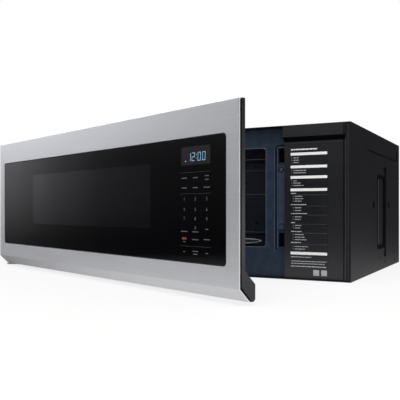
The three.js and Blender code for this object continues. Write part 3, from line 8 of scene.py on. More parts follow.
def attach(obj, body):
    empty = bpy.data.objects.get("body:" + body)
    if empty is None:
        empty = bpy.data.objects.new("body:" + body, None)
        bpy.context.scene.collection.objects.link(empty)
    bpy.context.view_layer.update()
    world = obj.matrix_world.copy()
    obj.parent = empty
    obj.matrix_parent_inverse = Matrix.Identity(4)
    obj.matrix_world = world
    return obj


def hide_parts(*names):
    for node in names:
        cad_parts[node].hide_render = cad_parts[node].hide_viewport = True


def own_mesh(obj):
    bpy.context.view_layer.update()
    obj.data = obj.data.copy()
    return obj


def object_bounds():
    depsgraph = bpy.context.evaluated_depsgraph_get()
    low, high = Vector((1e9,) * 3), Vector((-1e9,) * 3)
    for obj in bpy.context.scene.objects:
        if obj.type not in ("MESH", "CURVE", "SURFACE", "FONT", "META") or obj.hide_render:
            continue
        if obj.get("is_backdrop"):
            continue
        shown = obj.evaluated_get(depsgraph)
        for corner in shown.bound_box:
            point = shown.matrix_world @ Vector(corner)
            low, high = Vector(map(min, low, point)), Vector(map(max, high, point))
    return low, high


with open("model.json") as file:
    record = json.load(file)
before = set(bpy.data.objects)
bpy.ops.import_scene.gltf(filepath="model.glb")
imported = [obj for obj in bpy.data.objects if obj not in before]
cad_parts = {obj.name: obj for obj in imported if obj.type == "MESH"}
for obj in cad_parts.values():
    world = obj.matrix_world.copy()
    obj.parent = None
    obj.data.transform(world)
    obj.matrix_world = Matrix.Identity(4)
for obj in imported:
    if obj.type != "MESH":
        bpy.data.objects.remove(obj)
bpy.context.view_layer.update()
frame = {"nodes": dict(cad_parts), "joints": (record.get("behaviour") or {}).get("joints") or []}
nodes = frame["nodes"]
scene = bpy.context.scene
scene.view_settings.view_transform = "Standard"
mm = 0.001

# The door's own frame as it stands at rest: u from its hinge edge, t from its front, z up.
hinge = next(joint for joint in frame["joints"] if joint["name"] == "door_hinge")
hingeSpot = (10, 18)  # u and t of the hinge's axis
doorTurn = (
    Matrix.Translation((hinge["pos_m"][0], hinge["pos_m"][1], 0))
    @ Matrix.Rotation(math.radians(hinge["range_deg"][0]), 4, "Z")
    @ Matrix.Translation((-hingeSpot[0] * mm, -hingeSpot[1] * mm, 0)))


def hexLinear(text):
    channels = [int(text[i:i + 2], 16) / 255 for i in (1, 3, 5)]
    linear = [c / 12.92 if c <= 0.04045 else ((c + 0.055) / 1.055) ** 2.4 for c in channels]
    return (*linear, 1.0)


# Adds a node with its settings and inputs; a node given as an input links its first output.
def addNode(tree, kind, settings=None, inputs=None):
    node = tree.nodes.new(kind)
    for name, value in (settings or {}).items():
        setattr(node, name, value)
    for key, value in (inputs or {}).items():
        if isinstance(value, bpy.types.Node):
            value = value.outputs[0]
        if isinstance(value, bpy.types.NodeSocket):
            tree.links.new(value, node.inputs[key])
        else:
            node.inputs[key].default_value = value
    return node


def newMaterial(name):
    material = bpy.data.materials.new(name)
    material.use_nodes = True
    material.node_tree.nodes.clear()
    return material, material.node_tree


# A finish from two tones in soft patches, a grain that lifts the surface, and the gloss it leaves.
# The patch and the grain are in millimetres.
def makeFinish(name, tones, patch, grain, rough, lift, cells=False, stretch=None, metallic=0.0, shader={}):
    material, tree = newMaterial(name)
    place = addNode(tree, "ShaderNodeTexCoord").outputs["Object"]
    if stretch:
        place = addNode(tree, "ShaderNodeMapping", {}, {"Vector": place, "Scale": stretch})
    clouds = addNode(tree, "ShaderNodeTexNoise", {}, {
        "Vector": place, "Scale": 1 / (patch * mm), "Detail": 4.0, "Roughness": 0.6})
    share = addNode(tree, "ShaderNodeMapRange", {}, {"Value": clouds, "From Min": 0.3, "From Max": 0.7})
    tone = addNode(tree, "ShaderNodeMix", {"data_type": "RGBA"}, {
        0: share, 6: hexLinear(tones[0]), 7: hexLinear(tones[1])})
    grainKind = "ShaderNodeTexVoronoi" if cells else "ShaderNodeTexNoise"
    height = addNode(tree, grainKind, {}, {"Vector": place, "Scale": 1 / (grain * mm)})
    gloss = addNode(tree, "ShaderNodeMapRange", {}, {
        "Value": height, "From Min": 0.25, "From Max": 0.75, "To Min": rough[0], "To Max": rough[1]})
    bump = addNode(tree, "ShaderNodeBump", {}, {
        "Height": height, "Strength": lift, "Distance": grain * mm * 0.4})
    surface = addNode(tree, "ShaderNodeBsdfPrincipled", {}, {
        "Base Color": tone.outputs[2], "Roughness": gloss, "Normal": bump, "Metallic": metallic, **shader})
    addNode(tree, "ShaderNodeOutputMaterial", {}, {"Surface": surface})
    return material


# Shapes are drawn in millimetres, and meshFrom turns them into metres.
def blockMesh(bm, low, high):
    made = bmesh.ops.create_cube(bm, size=1.0)["verts"]
    bmesh.ops.scale(bm, vec=[b - a for a, b in zip(low, high)], verts=made)
    bmesh.ops.translate(bm, vec=[(a + b) / 2 for a, b in zip(low, high)], verts=made)


def addRing(bm, points):
    return [bm.verts.new(point) for point in points]


def joinRings(bm, pairs):
    for near, far in pairs:
        for i in range(len(near)):
            j = (i + 1) % len(near)
            bm.faces.new((near[i], near[j], far[j], far[i]))


def sweepMesh(bm, sections, closed=False):
    # sections are loops of points with one count; the first and last are capped unless closed
    rings = [addRing(bm, section) for section in sections]
    joinRings(bm, zip(rings, rings[1:] + (rings[:1] if closed else [])))
    if not closed:
        bm.faces.new(list(reversed(rings[0])))
        bm.faces.new(rings[-1])


def onFront(points, y):
    return [(x, y, z) for x, z in points]


def prismMesh(bm, outline, near, far):
    # outline is (x, z) pairs; near and far are its two y values
    sweepMesh(bm, [onFront(outline, near), onFront(outline, far)])


def beadMesh(bm, path, radius, sides=8, closed=False):
    # a round bead along points
    sections = []
    last = len(path) - 1
    for i, point in enumerate(path):
        before = path[i - 1] if i > 0 or closed else path[i]
        after = path[(i + 1) % len(path)] if i < last or closed else path[i]
        along = (Vector(after) - Vector(before)).normalized()
        side = along.cross(Vector((0, 1, 0)) if abs(along.y) < 0.9 else Vector((0, 0, 1))).normalized()
        up = along.cross(side)
        turns = [2 * math.pi * k / sides for k in range(sides)]
        sections.append([Vector(point) + (side * math.cos(a) + up * math.sin(a)) * radius for a in turns])
    sweepMesh(bm, sections, closed)


def latheMesh(bm, profile, middle, sides=96):
    # profile is (radius, z) pairs from the axis round to the axis again
    x, y = middle
    turns = [2 * math.pi * k / sides for k in range(sides)]
    sweepMesh(bm, [[(x + r * math.cos(a), y + r * math.sin(a), z) for r, z in profile] for a in turns], True)
    bmesh.ops.remove_doubles(bm, verts=bm.verts, dist=0.001)
    bmesh.ops.delete(bm, geom=[face for face in bm.faces if face.calc_area() < 1e-6], context="FACES")


def arcPoints(middle, radius, turns):
    # turns are in degrees
    angles = [math.radians(turn) for turn in turns]
    return [(middle[0] + radius * math.cos(a), middle[1] + radius * math.sin(a)) for a in angles]


def roundedRectangle(left, right, low, high, radius, steps=6):
    points = []
    corners = [(right - radius, high - radius, 0), (left + radius, high - radius, 90),
               (left + radius, low + radius, 180), (right - radius, low + radius, 270)]
    for x, z, start in corners:
        points += arcPoints((x, z), radius, [start + 90 * i / steps for i in range(steps + 1)])
    return points


def meshFrom(bm, name, place=Matrix(), outward=True):
    if outward:
        bmesh.ops.recalc_face_normals(bm, faces=bm.faces)
    mesh = bpy.data.meshes.new(name)
    bm.to_mesh(mesh)
    bm.free()
    mesh.transform(place @ Matrix.Scale(mm, 4))
    return mesh


# Each corner's normal is the area-weighted mean of the faces that meet there at a shallow angle, so
# that large flats stay flat and only the rounded edges turn between them.
def settleNormals(mesh, widest=42):
    around = [[] for _ in mesh.vertices]
    faces = [(face.normal.copy(), face.area) for face in mesh.polygons]
    for face in mesh.polygons:
        for corner in face.vertices:
            around[corner].append(face.index)
    least = math.cos(math.radians(widest))
    normals = []
    for face in mesh.polygons:
        own = faces[face.index][0]
        for corner in face.vertices:
            total = Vector((0, 0, 0))
            for other in around[corner]:
                normal, area = faces[other]
                if normal.dot(own) > least:
                    total += normal * area
            normals.append(total.normalized() if total.length > 0 else own)
    mesh.shade_smooth()
    mesh.normals_split_custom_set(normals)


# A piece on its body; a mesh that already has its finishes comes with None for one.
def addPiece(name, mesh, finish, body, replaced=()):
    piece = bpy.data.objects.new(name, mesh)
    scene.collection.objects.link(piece)
    if finish:
        mesh.materials.clear()
        mesh.materials.append(finish)
    settleNormals(mesh)
    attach(piece, body)
    if replaced:
        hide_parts(*replaced)
    return piece


def addShape(name, bm, finish, body, replaced=(), place=Matrix()):
    return addPiece(name, meshFrom(bm, name, place), finish, body, replaced)


# Beads on the cabinet as one piece: each has its radius, its path and True where it closes.
def addBeads(name, beads, finish):
    bm = bmesh.new()
    for radius, path, *closed in beads:
        beadMesh(bm, path, radius, closed=bool(closed))
    addShape(name, bm, finish, "cabinet")


# A solid from the frame with its doubles merged, its flats made whole and its longer edges rounded.
def softenedMesh(nodeName, width, segments=2, reach=4.0):
    bm = bmesh.new()
    bm.from_mesh(nodes[nodeName].data)
    bmesh.ops.remove_doubles(bm, verts=bm.verts, dist=2e-6)
    bmesh.ops.dissolve_limit(
        bm, angle_limit=math.radians(0.6), verts=bm.verts, edges=bm.edges, use_dissolve_boundaries=False)
    edges = [e for e in bm.edges if e.is_manifold and e.calc_face_angle(0) > math.radians(32)
             and e.calc_length() > reach * width * mm]
    if edges and width:
        bmesh.ops.bevel(bm, geom=edges, offset=width * mm, offset_type="OFFSET", segments=segments,
                        profile=0.5, affect="EDGES", clamp_overlap=True)
    mesh = bpy.data.meshes.new(nodeName + "_soft")
    bm.to_mesh(mesh)
    bm.free()
    return mesh


def softenedPiece(nodeName, width, finish, body, slotName, **options):
    mesh = softenedMesh(nodeName, width, **options)
    return addPiece(nodeName + "_shown", mesh, finish, body, [nodeName])


# Geometry Nodes: a group with named inputs, run on a mesh and taken back as a plain mesh.
def newGroup(name, inputs):
    group = bpy.data.node_groups.new(name, "GeometryNodeTree")
    group.interface.new_socket("Geometry", in_out="INPUT", socket_type="NodeSocketGeometry")
    group.interface.new_socket("Geometry", in_out="OUTPUT", socket_type="NodeSocketGeometry")
    for label, kind in inputs.items():
        group.interface.new_socket(label, in_out="INPUT", socket_type="NodeSocket" + kind)
    return group, addNode(group, "NodeGroupInput").outputs


def finishGroup(group, geometry, finish):
    real = addNode(group, "GeometryNodeRealizeInstances", {}, {0: geometry})
    painted = addNode(group, "GeometryNodeSetMaterial", {}, {"Geometry": real, "Material": finish})
    addNode(group, "NodeGroupOutput", {}, {0: painted})


def runGroup(group, base, values, place=Matrix()):
    carrier = bpy.data.objects.new(group.name, base)
    scene.collection.objects.link(carrier)
    modifier = carrier.modifiers.new(group.name, "NODES")
    modifier.node_group = group
    for item in group.interface.items_tree:
        if item.in_out == "INPUT" and item.name in values:
            modifier[item.identifier] = values[item.name]
    graph = bpy.context.evaluated_depsgraph_get()
    graph.update()
    mesh = bpy.data.meshes.new_from_object(carrier.evaluated_get(graph))
    carrier.modifiers.remove(modifier)
    bpy.data.objects.remove(carrier)
    mesh.transform(place)
    return mesh


# Screws: a truncated cone with a cross cut into it, one on each point, turned to the point's facing.
screwGroup, entry = newGroup("crossScrews", {
    "Head radius": "Float", "Head height": "Float", "Cross length": "Float", "Cross width": "Float",
    "Finish": "Material"})
topRadius = addNode(screwGroup, "ShaderNodeMath", {"operation": "MULTIPLY"}, {0: entry["Head radius"], 1: 0.72})
screwCut = addNode(screwGroup, "GeometryNodeMeshCone", {}, {
    "Vertices": 20, "Radius Top": topRadius, "Radius Bottom": entry["Head radius"],
    "Depth": entry["Head height"]})
cutHeight = addNode(screwGroup, "ShaderNodeMath", {"operation": "MULTIPLY"}, {0: entry["Head height"], 1: 0.85})
cutPlace = addNode(screwGroup, "ShaderNodeCombineXYZ", {}, {2: cutHeight})
for first, second in (("Cross length", "Cross width"), ("Cross width", "Cross length")):
    size = addNode(screwGroup, "ShaderNodeCombineXYZ", {}, {
        0: entry[first], 1: entry[second], 2: entry["Head height"]})
    arm = addNode(screwGroup, "GeometryNodeMeshCube", {}, {"Size": size})
    moved = addNode(screwGroup, "GeometryNodeTransform", {}, {"Geometry": arm, "Translation": cutPlace})
    screwCut = addNode(screwGroup, "GeometryNodeMeshBoolean", {"operation": "DIFFERENCE"}, {0: screwCut, 1: moved})
facing = addNode(screwGroup, "GeometryNodeInputNamedAttribute", {"data_type": "FLOAT_VECTOR"}, {"Name": "facing"})
turned = addNode(screwGroup, "FunctionNodeAlignRotationToVector", {"axis": "Z"}, {"Vector": facing})
screws = addNode(screwGroup, "GeometryNodeInstanceOnPoints", {}, {
    "Points": entry["Geometry"], "Instance": screwCut, "Rotation": turned})
finishGroup(screwGroup, screws, entry["Finish"])


def screwMesh(points, radius, height, finish, place=Matrix()):
    # points are (x, y, z, facing) in millimetres
    base = bpy.data.meshes.new("screwPoints")
    base.from_pydata([(x * mm, y * mm, z * mm) for x, y, z, _ in points], [], [])
    facings = base.attributes.new("facing", "FLOAT_VECTOR", "POINT")
    for k, point in enumerate(points):
        facings.data[k].vector = point[3]
    return runGroup(screwGroup, base, {
        "Head radius": radius * mm, "Head height": height * mm, "Cross length": radius * 1.15 * mm,
        "Cross width": radius * 0.3 * mm, "Finish": finish}, place)


# Perforated sheet: hexagonal tiles with a hole, staggered so that they join into one sheet.
sheetGroup, entry = newGroup("perforatedSheet", {
    "Wide": "Float", "High": "Float", "Pitch": "Float", "Open share": "Float", "Thickness": "Float",
    "Finish": "Material"})
size = {name: entry[name] for name in ("Wide", "High", "Pitch", "Thickness")}
size["x"] = addNode(sheetGroup, "ShaderNodeSeparateXYZ", {}, {0: addNode(sheetGroup, "GeometryNodeInputPosition")})
# what follows from the sizes: a name, its operation and what it works on
for name, operation, first, second in (
        ("columnPitch", "MULTIPLY", "Pitch", math.sqrt(3) / 2), ("tileRadius", "DIVIDE", "Pitch", math.sqrt(3)),
        ("acrossExact", "DIVIDE", "Wide", "columnPitch"), ("columns", "ROUND", "acrossExact", 0.0),
        ("upExact", "DIVIDE", "High", "Pitch"), ("rows", "ROUND", "upExact", 0.0),
        ("sheetWide", "MULTIPLY", "columns", "columnPitch"), ("sheetHigh", "MULTIPLY", "rows", "Pitch"),
        ("pointsAcross", "ADD", "columns", 1.0), ("pointsUp", "ADD", "rows", 1.0),
        ("fromMiddle", "DIVIDE", "x", "columnPitch"), ("halfColumns", "DIVIDE", "columns", 2.0),
        ("fromEdge", "ADD", "fromMiddle", "halfColumns"), ("column", "ROUND", "fromEdge", 0.0),
        ("odd", "MODULO", "column", 2.0), ("halfPitch", "DIVIDE", "Pitch", 2.0),
        ("shift", "MULTIPLY", "odd", "halfPitch"), ("inward", "MULTIPLY", "Thickness", -1.0)):
    size[name] = addNode(sheetGroup, "ShaderNodeMath", {"operation": operation}, {
        0: size[first], 1: size.get(second, second)})
lattice = addNode(sheetGroup, "GeometryNodeMeshGrid", {}, {
    "Size X": size["sheetWide"], "Size Y": size["sheetHigh"],
    "Vertices X": size["pointsAcross"], "Vertices Y": size["pointsUp"]})
sideways = addNode(sheetGroup, "ShaderNodeCombineXYZ", {}, {1: size["shift"]})
staggered = addNode(sheetGroup, "GeometryNodeSetPosition", {}, {"Geometry": lattice, "Offset": sideways})
flat = addNode(sheetGroup, "GeometryNodeMeshCircle", {"fill_type": "NGON"}, {
    "Vertices": 6, "Radius": size["tileRadius"]})
ring = addNode(sheetGroup, "GeometryNodeExtrudeMesh", {}, {"Mesh": flat, "Offset Scale": 0.0})
opened = addNode(sheetGroup, "GeometryNodeScaleElements", {}, {
    "Geometry": ring, "Selection": ring.outputs["Top"], "Scale": entry["Open share"]})
deep = addNode(sheetGroup, "GeometryNodeExtrudeMesh", {}, {
    "Mesh": opened, "Selection": ring.outputs["Top"], "Offset Scale": size["inward"]})
tile = addNode(sheetGroup, "GeometryNodeDeleteGeometry", {"domain": "FACE"}, {
    "Geometry": deep, "Selection": deep.outputs["Top"]})
frontRing = addNode(sheetGroup, "GeometryNodeDeleteGeometry", {"domain": "FACE"}, {
    "Geometry": opened, "Selection": ring.outputs["Top"]})
below = addNode(sheetGroup, "ShaderNodeCombineXYZ", {}, {2: size["inward"]})
moved = addNode(sheetGroup, "GeometryNodeTransform", {}, {"Geometry": frontRing, "Translation": below})
backRing = addNode(sheetGroup, "GeometryNodeFlipFaces", {}, {0: moved})
wholeTile = addNode(sheetGroup, "GeometryNodeJoinGeometry")
for part in (tile, backRing):
    sheetGroup.links.new(part.outputs[0], wholeTile.inputs[0])
sheet = addNode(sheetGroup, "GeometryNodeInstanceOnPoints", {}, {"Points": staggered, "Instance": wholeTile})
finishGroup(sheetGroup, sheet, entry["Finish"])

# Woven mesh: wavy strands side by side in one direction, and the same crossing them half a wave later.
weaveGroup, entry = newGroup("wovenMesh", {
    "Wide": "Float", "High": "Float", "Pitch": "Float", "Strand": "Float", "Wave": "Float", "Finish": "Material"})


def strandSet(group, entry, along, across, phase):
    size = {"long": entry[along], "wide": entry[across], "pitch": entry["Pitch"], "strand": entry["Strand"],
            "wave": entry["Wave"], "one": 1.0, "index": addNode(group, "GeometryNodeInputIndex")}
    size["x"] = addNode(group, "ShaderNodeSeparateXYZ", {}, {0: addNode(group, "GeometryNodeInputPosition")})
    for name, operation, first, second in (
            ("waves", "DIVIDE", "long", "pitch"), ("wholeWaves", "ROUND", "waves", 0.0),
            ("steps", "MULTIPLY", "wholeWaves", 2.0), ("strands", "DIVIDE", "wide", "pitch"),
            ("count", "ROUND", "strands", 0.0), ("stop", "MULTIPLY", "long", 0.5),
            ("start", "MULTIPLY", "stop", -1.0), ("share", "DIVIDE", "x", "pitch"),
            ("angle", "MULTIPLY", "share", math.pi), ("turn", "ADD", "angle", phase),
            ("swing", "SINE", "turn", 0.0), ("rise", "MULTIPLY", "swing", "wave"),
            ("radius", "MULTIPLY", "strand", 0.5), ("lastRow", "MULTIPLY", "wide", 0.5),
            ("firstRow", "MULTIPLY", "lastRow", -1.0), ("odd", "MODULO", "index", 2.0),
            ("twice", "MULTIPLY", "odd", 2.0), ("side", "SUBTRACT", "one", "twice")):
        size[name] = addNode(group, "ShaderNodeMath", {"operation": operation}, {
            0: size[first], 1: size.get(second, second)})
    spots = {name: addNode(group, "ShaderNodeCombineXYZ", {}, {axis: size[name]}) for name, axis in (
        ("start", 0), ("stop", 0), ("rise", 2), ("firstRow", 1), ("lastRow", 1))}
    line = addNode(group, "GeometryNodeCurvePrimitiveLine", {}, {"Start": spots["start"], "End": spots["stop"]})
    stepped = addNode(group, "GeometryNodeResampleCurve", {}, {"Curve": line, "Count": size["steps"]})
    waved = addNode(group, "GeometryNodeSetPosition", {}, {"Geometry": stepped, "Offset": spots["rise"]})
    section = addNode(group, "GeometryNodeCurvePrimitiveCircle", {}, {"Resolution": 4, "Radius": size["radius"]})
    strand = addNode(group, "GeometryNodeCurveToMesh", {}, {0: waved, "Profile Curve": section})
    row = addNode(group, "GeometryNodeMeshLine", {"mode": "END_POINTS"}, {
        "Count": size["count"], "Start Location": spots["firstRow"], "Offset": spots["lastRow"]})
    flip = addNode(group, "ShaderNodeCombineXYZ", {}, {0: 1.0, 1: 1.0, 2: size["side"]})
    return addNode(group, "GeometryNodeInstanceOnPoints", {}, {"Points": row, "Instance": strand, "Scale": flip})


lengthwise = strandSet(weaveGroup, entry, "Wide", "High", 0.0)
crosswise = addNode(weaveGroup, "GeometryNodeTransform", {}, {
    "Geometry": strandSet(weaveGroup, entry, "High", "Wide", math.pi), "Rotation": (0, 0, math.pi / 2)})
both = addNode(weaveGroup, "GeometryNodeJoinGeometry")
for part in (lengthwise, crosswise):
    weaveGroup.links.new(part.outputs[0], both.inputs[0])
finishGroup(weaveGroup, both, entry["Finish"])
print("repeating shapes have their node groups")

view = {"lens": 55.15, "sensor": 36, "place": (0.62756, -1.23606, 0.12242), "turn": 27.692, "shift": 0.02186,
        "nearest": 0.05}
camera = bpy.data.objects.new("camera", bpy.data.cameras.new("camera"))
scene.collection.objects.link(camera)
camera.location = view["place"]
camera.rotation_euler = (math.radians(90), 0, math.radians(view["turn"]))
camera.data.lens = view["lens"]
camera.data.sensor_width = view["sensor"]
camera.data.sensor_fit = "HORIZONTAL"
camera.data.shift_y = view["shift"]
camera.data.clip_start = view["nearest"]
scene.camera = camera

studio = {"floorReach": 9.0, "floorDrop": 0.4, "floorTone": "#eeeeec", "floorGlow": 0.8, "fill": 0.95,
          "mirrorMiddle": (0.45, -0.35, 0.0), "mirrorNear": 0.15, "mirrorReach": 1.16, "mirrorLevel": 0.8,
          "leftLift": (1.9, 1.91, 1.94, 1), "rightCeiling": (0.14, 0.14, 0.15, 1)}

floorMaterial, tree = newMaterial("palePaintedFloor")
rays = addNode(tree, "ShaderNodeLightPath")
paper = addNode(tree, "ShaderNodeBsdfDiffuse", {}, {"Color": hexLinear(studio["floorTone"])})
# what gloss mirrors of the floor: white close to the object, falling off further out
spot = addNode(tree, "ShaderNodeTexCoord").outputs["Object"]
away = addNode(tree, "ShaderNodeVectorMath", {"operation": "DISTANCE"}, {0: spot, 1: studio["mirrorMiddle"]})
fade = addNode(tree, "ShaderNodeMapRange", {"interpolation_type": "SMOOTHSTEP"}, {
    "Value": away.outputs["Value"], "From Min": studio["mirrorNear"], "From Max": studio["mirrorReach"],
    "To Min": 1.0, "To Max": 0.0})
sheen = addNode(tree, "ShaderNodeEmission", {}, {
    "Color": (0.985, 0.99, 1, 1), "Strength": studio["mirrorLevel"]})
clear = addNode(tree, "ShaderNodeBsdfTransparent")
nearby = addNode(tree, "ShaderNodeMixShader", {}, {0: fade, 1: clear, 2: sheen})
mirrored = addNode(tree, "ShaderNodeMixShader", {}, {0: rays.outputs["Is Glossy Ray"], 1: paper, 2: nearby})
white = addNode(tree, "ShaderNodeEmission", {}, {"Color": (1, 1, 1, 1), "Strength": 1.0})
glow = addNode(tree, "ShaderNodeMath", {"operation": "MULTIPLY"}, {
    0: rays.outputs["Is Camera Ray"], 1: studio["floorGlow"]})
floorShader = addNode(tree, "ShaderNodeMixShader", {}, {0: glow, 1: mirrored, 2: white})
addNode(tree, "ShaderNodeOutputMaterial", {}, {"Surface": floorShader})

reach = studio["floorReach"]
floorMesh = bpy.data.meshes.new("floor")
floorMesh.from_pydata(
    [(-reach, -reach, 0), (reach, -reach, 0), (reach, reach, 0), (-reach, reach, 0)], [], [(0, 1, 2, 3)])
floorMesh.transform(Matrix.Translation((0, 0, -studio["floorDrop"] * mm)))
floorMesh.materials.append(floorMaterial)
floor = bpy.data.objects.new("floor", floorMesh)
scene.collection.objects.link(floor)
floor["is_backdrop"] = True

# The world is a pale room; what gloss mirrors of it falls off toward the front left, near the horizon.
world = bpy.data.worlds.new("paleRoom")
scene.world = world
world.use_nodes = True
tree = world.node_tree
tree.nodes.clear()
rays = addNode(tree, "ShaderNodeLightPath")
toward = addNode(tree, "ShaderNodeSeparateXYZ", {}, {
    0: addNode(tree, "ShaderNodeTexCoord").outputs["Generated"]})
around = addNode(tree, "ShaderNodeMapRange", {}, {
    "Value": toward.outputs["Y"], "From Min": -1.0, "From Max": 1.0})
# how bright each is from the front, 0, round to the back, 1
roomLevels = {
    "leftWall": ((0.0, 0.10), (0.2, 0.12), (0.334, 0.06), (0.371, 0.055), (0.403, 0.08), (0.4265, 0.12),
                 (0.458, 0.31), (0.492, 0.70), (0.6, 0.9)),
    "rightWall": ((0.0, 0.3), (0.5, 0.6), (0.6, 0.8), (0.635, 3.0), (0.725, 3.0), (0.76, 0.5), (0.9, 0.05)),
    "leftCeiling": ((0.0, 0.26), (0.3, 0.31), (0.4, 0.48), (0.49, 1.5), (0.6, 1.5), (0.75, 0.4))}
room = {}
for name, stops in roomLevels.items():
    room[name] = addNode(tree, "ShaderNodeValToRGB", {}, {0: around})
    elements = room[name].color_ramp.elements
    for _ in stops[2:]:
        elements.new(0.5)
    for element, (position, level) in zip(elements, stops):
        element.position = position
        element.color = (level * 0.985, level * 0.992, level * 1.03, 1)
rightward = addNode(tree, "ShaderNodeMapRange", {}, {
    "Value": toward.outputs["X"], "From Min": -0.25, "From Max": 0.15})
walls = addNode(tree, "ShaderNodeMix", {"data_type": "RGBA"}, {
    0: rightward, 6: room["leftWall"], 7: room["rightWall"]})
# the left walls are dimmer under the horizon, the right ones over it
rise = addNode(tree, "ShaderNodeMapRange", {}, {
    "Value": toward.outputs["Z"], "From Min": -0.05, "From Max": 0.07, "To Min": 0.15, "To Max": 1.0})
sink = addNode(tree, "ShaderNodeMapRange", {}, {
    "Value": toward.outputs["Z"], "From Min": -0.06, "From Max": 0.1, "To Min": 1.0, "To Max": 0.0})
level = addNode(tree, "ShaderNodeMix", {"data_type": "FLOAT"}, {0: rightward, 2: rise, 3: sink})
shaded = addNode(tree, "ShaderNodeMix", {"data_type": "RGBA", "blend_type": "MULTIPLY"}, {
    0: 1.0, 6: walls.outputs[2], 7: level})
# the ceiling is bright on the left only
upward = addNode(tree, "ShaderNodeMapRange", {"interpolation_type": "SMOOTHSTEP"}, {
    "Value": toward.outputs["Z"], "From Min": 0.06, "From Max": 0.35})
brightCeiling = addNode(tree, "ShaderNodeMix", {"data_type": "RGBA", "blend_type": "MULTIPLY"}, {
    0: 1.0, 6: room["leftCeiling"], 7: studio["leftLift"]})
ceiling = addNode(tree, "ShaderNodeMix", {"data_type": "RGBA"}, {
    0: rightward, 6: brightCeiling.outputs[2], 7: studio["rightCeiling"]})
sky = addNode(tree, "ShaderNodeMix", {"data_type": "RGBA"}, {
    0: upward, 6: shaded.outputs[2], 7: ceiling.outputs[2]})
fillLight = addNode(tree, "ShaderNodeMix", {"data_type": "RGBA"}, {
    0: rays.outputs["Is Glossy Ray"], 6: (studio["fill"],) * 3 + (1,), 7: sky.outputs[2]})
seen = addNode(tree, "ShaderNodeMath", {"operation": "MAXIMUM"}, {
    0: rays.outputs["Is Camera Ray"], 1: rays.outputs["Is Transmission Ray"]})
whole = addNode(tree, "ShaderNodeMix", {"data_type": "RGBA"}, {0: seen, 6: fillLight.outputs[2], 7: (1, 1, 1, 1)})
background = addNode(tree, "ShaderNodeBackground", {}, {0: whole.outputs[2], "Strength": 1.0})
addNode(tree, "ShaderNodeOutputWorld", {}, {"Surface": background})

# each lamp's place, what it points at, its size and its power
lamps = {"softboxAbove": ((0.35, -1.1, 1.9), (0, -0.1, 0.1), 1.6, 14),
         "cavityFill": ((-0.03, -0.1, 0.2), (-0.03, 0.1, 0.08), 0.15, 0.55)}
for name, (place, target, size, power) in lamps.items():
    light = bpy.data.lights.new(name, "AREA")
    light.shape = "DISK"
    light.size = size
    light.energy = power
    lamp = bpy.data.objects.new(name, light)
    scene.collection.objects.link(lamp)
    lamp.location = place
    lamp.rotation_euler = (Vector(target) - Vector(place)).to_track_quat("-Z", "Y").to_euler()
    lamp.visible_glossy = name != "cavityFill"
print("camera, floor and light are set")

# Polyester powder coat, sprayed and baked: a low even sheen over a fine orange peel.
powderCoat = makeFinish(
    "powderCoatCharcoal", tones=("#16161a", "#1b1b20"), patch=60, grain=0.9, rough=(0.42, 0.55), lift=0.18,
    shader={"Specular IOR Level": 0.2})
# The same coat in a paler tone: a painted highlight on pressed edges and ridges.
powderHighlight = makeFinish(
    "powderCoatPaintedHighlight", tones=("#37383d", "#404147"), patch=30, grain=1.2, rough=(0.3, 0.4), lift=0.1)
# Porcelain enamel fired on steel: deep dark blue with a wet gloss and slow waves in its reflections.
enamel = makeFinish(
    "porcelainEnamelBlue", tones=("#2b3543", "#343f4f"), patch=14, grain=5.0, rough=(0.14, 0.22), lift=0.05,
    shader={"Specular IOR Level": 0.13})
# The same enamel in a paler tone: a painted highlight on edges, also used for the pocket's screw head.
enamelHighlight = makeFinish(
    "porcelainEnamelPaintedHighlight", tones=("#465064", "#566176"), patch=8, grain=4.0, rough=(0.16, 0.24), lift=0.05)
# A paler tone of it on the pocket's plate, and a grey one on the oven's ribs that is a painted highlight.
enamelPlate = makeFinish(
    "porcelainEnamelPlate", tones=("#36424f", "#3f4c59"), patch=14, grain=5.0, rough=(0.2, 0.28), lift=0.05)
ribHighlightEnamel = makeFinish(
    "porcelainEnamelRibHighlight", tones=("#3a3e49", "#444954"), patch=14, grain=5.0, rough=(0.2, 0.28), lift=0.05)
# A near black enamel inside the oven, dulled by wiping.
ovenEnamel = makeFinish(
    "porcelainEnamelGrey", tones=("#0f1118", "#141620"), patch=40, grain=24.0, rough=(0.26, 0.34), lift=0.03,
    shader={"Specular IOR Level": 0.3})
# ABS moulded in a spark-eroded tool: near black, a dry fine sparkle and no mirror.
absBlack = makeFinish(
    "mouldedAbsBlack", tones=("#15161a", "#1b1c20"), patch=45, grain=0.7, rough=(0.3, 0.42), lift=0.25,
    shader={"Specular IOR Level": 0.8})
# The same plastic from a smoother tool, for the door's inner frame: it darkens upward as it mirrors.
absGrey = makeFinish(
    "mouldedAbsGrey", tones=("#18191b", "#1e1f22"), patch=40, grain=0.8, rough=(0.24, 0.34), lift=0.12,
    shader={"Specular IOR Level": 0.5})
# Painted shade: a matt near black, the darkest on the object, laid over folds, grooves, gaps and undersides that
# fall into shadow.
shadeBlack = makeFinish(
    "paintedShadeBlack", tones=("#040405", "#070708"), patch=20, grain=0.6, rough=(0.65, 0.8), lift=0.1,
    shader={"Specular IOR Level": 0.04})
# Polyester label film, printed black: flat, faintly uneven where it lies on the plastic.
labelFilm = makeFinish(
    "printedLabelFilm", tones=("#141518", "#191a1e"), patch=35, grain=3.0, rough=(0.3, 0.4), lift=0.04,
    shader={"Specular IOR Level": 0.8})
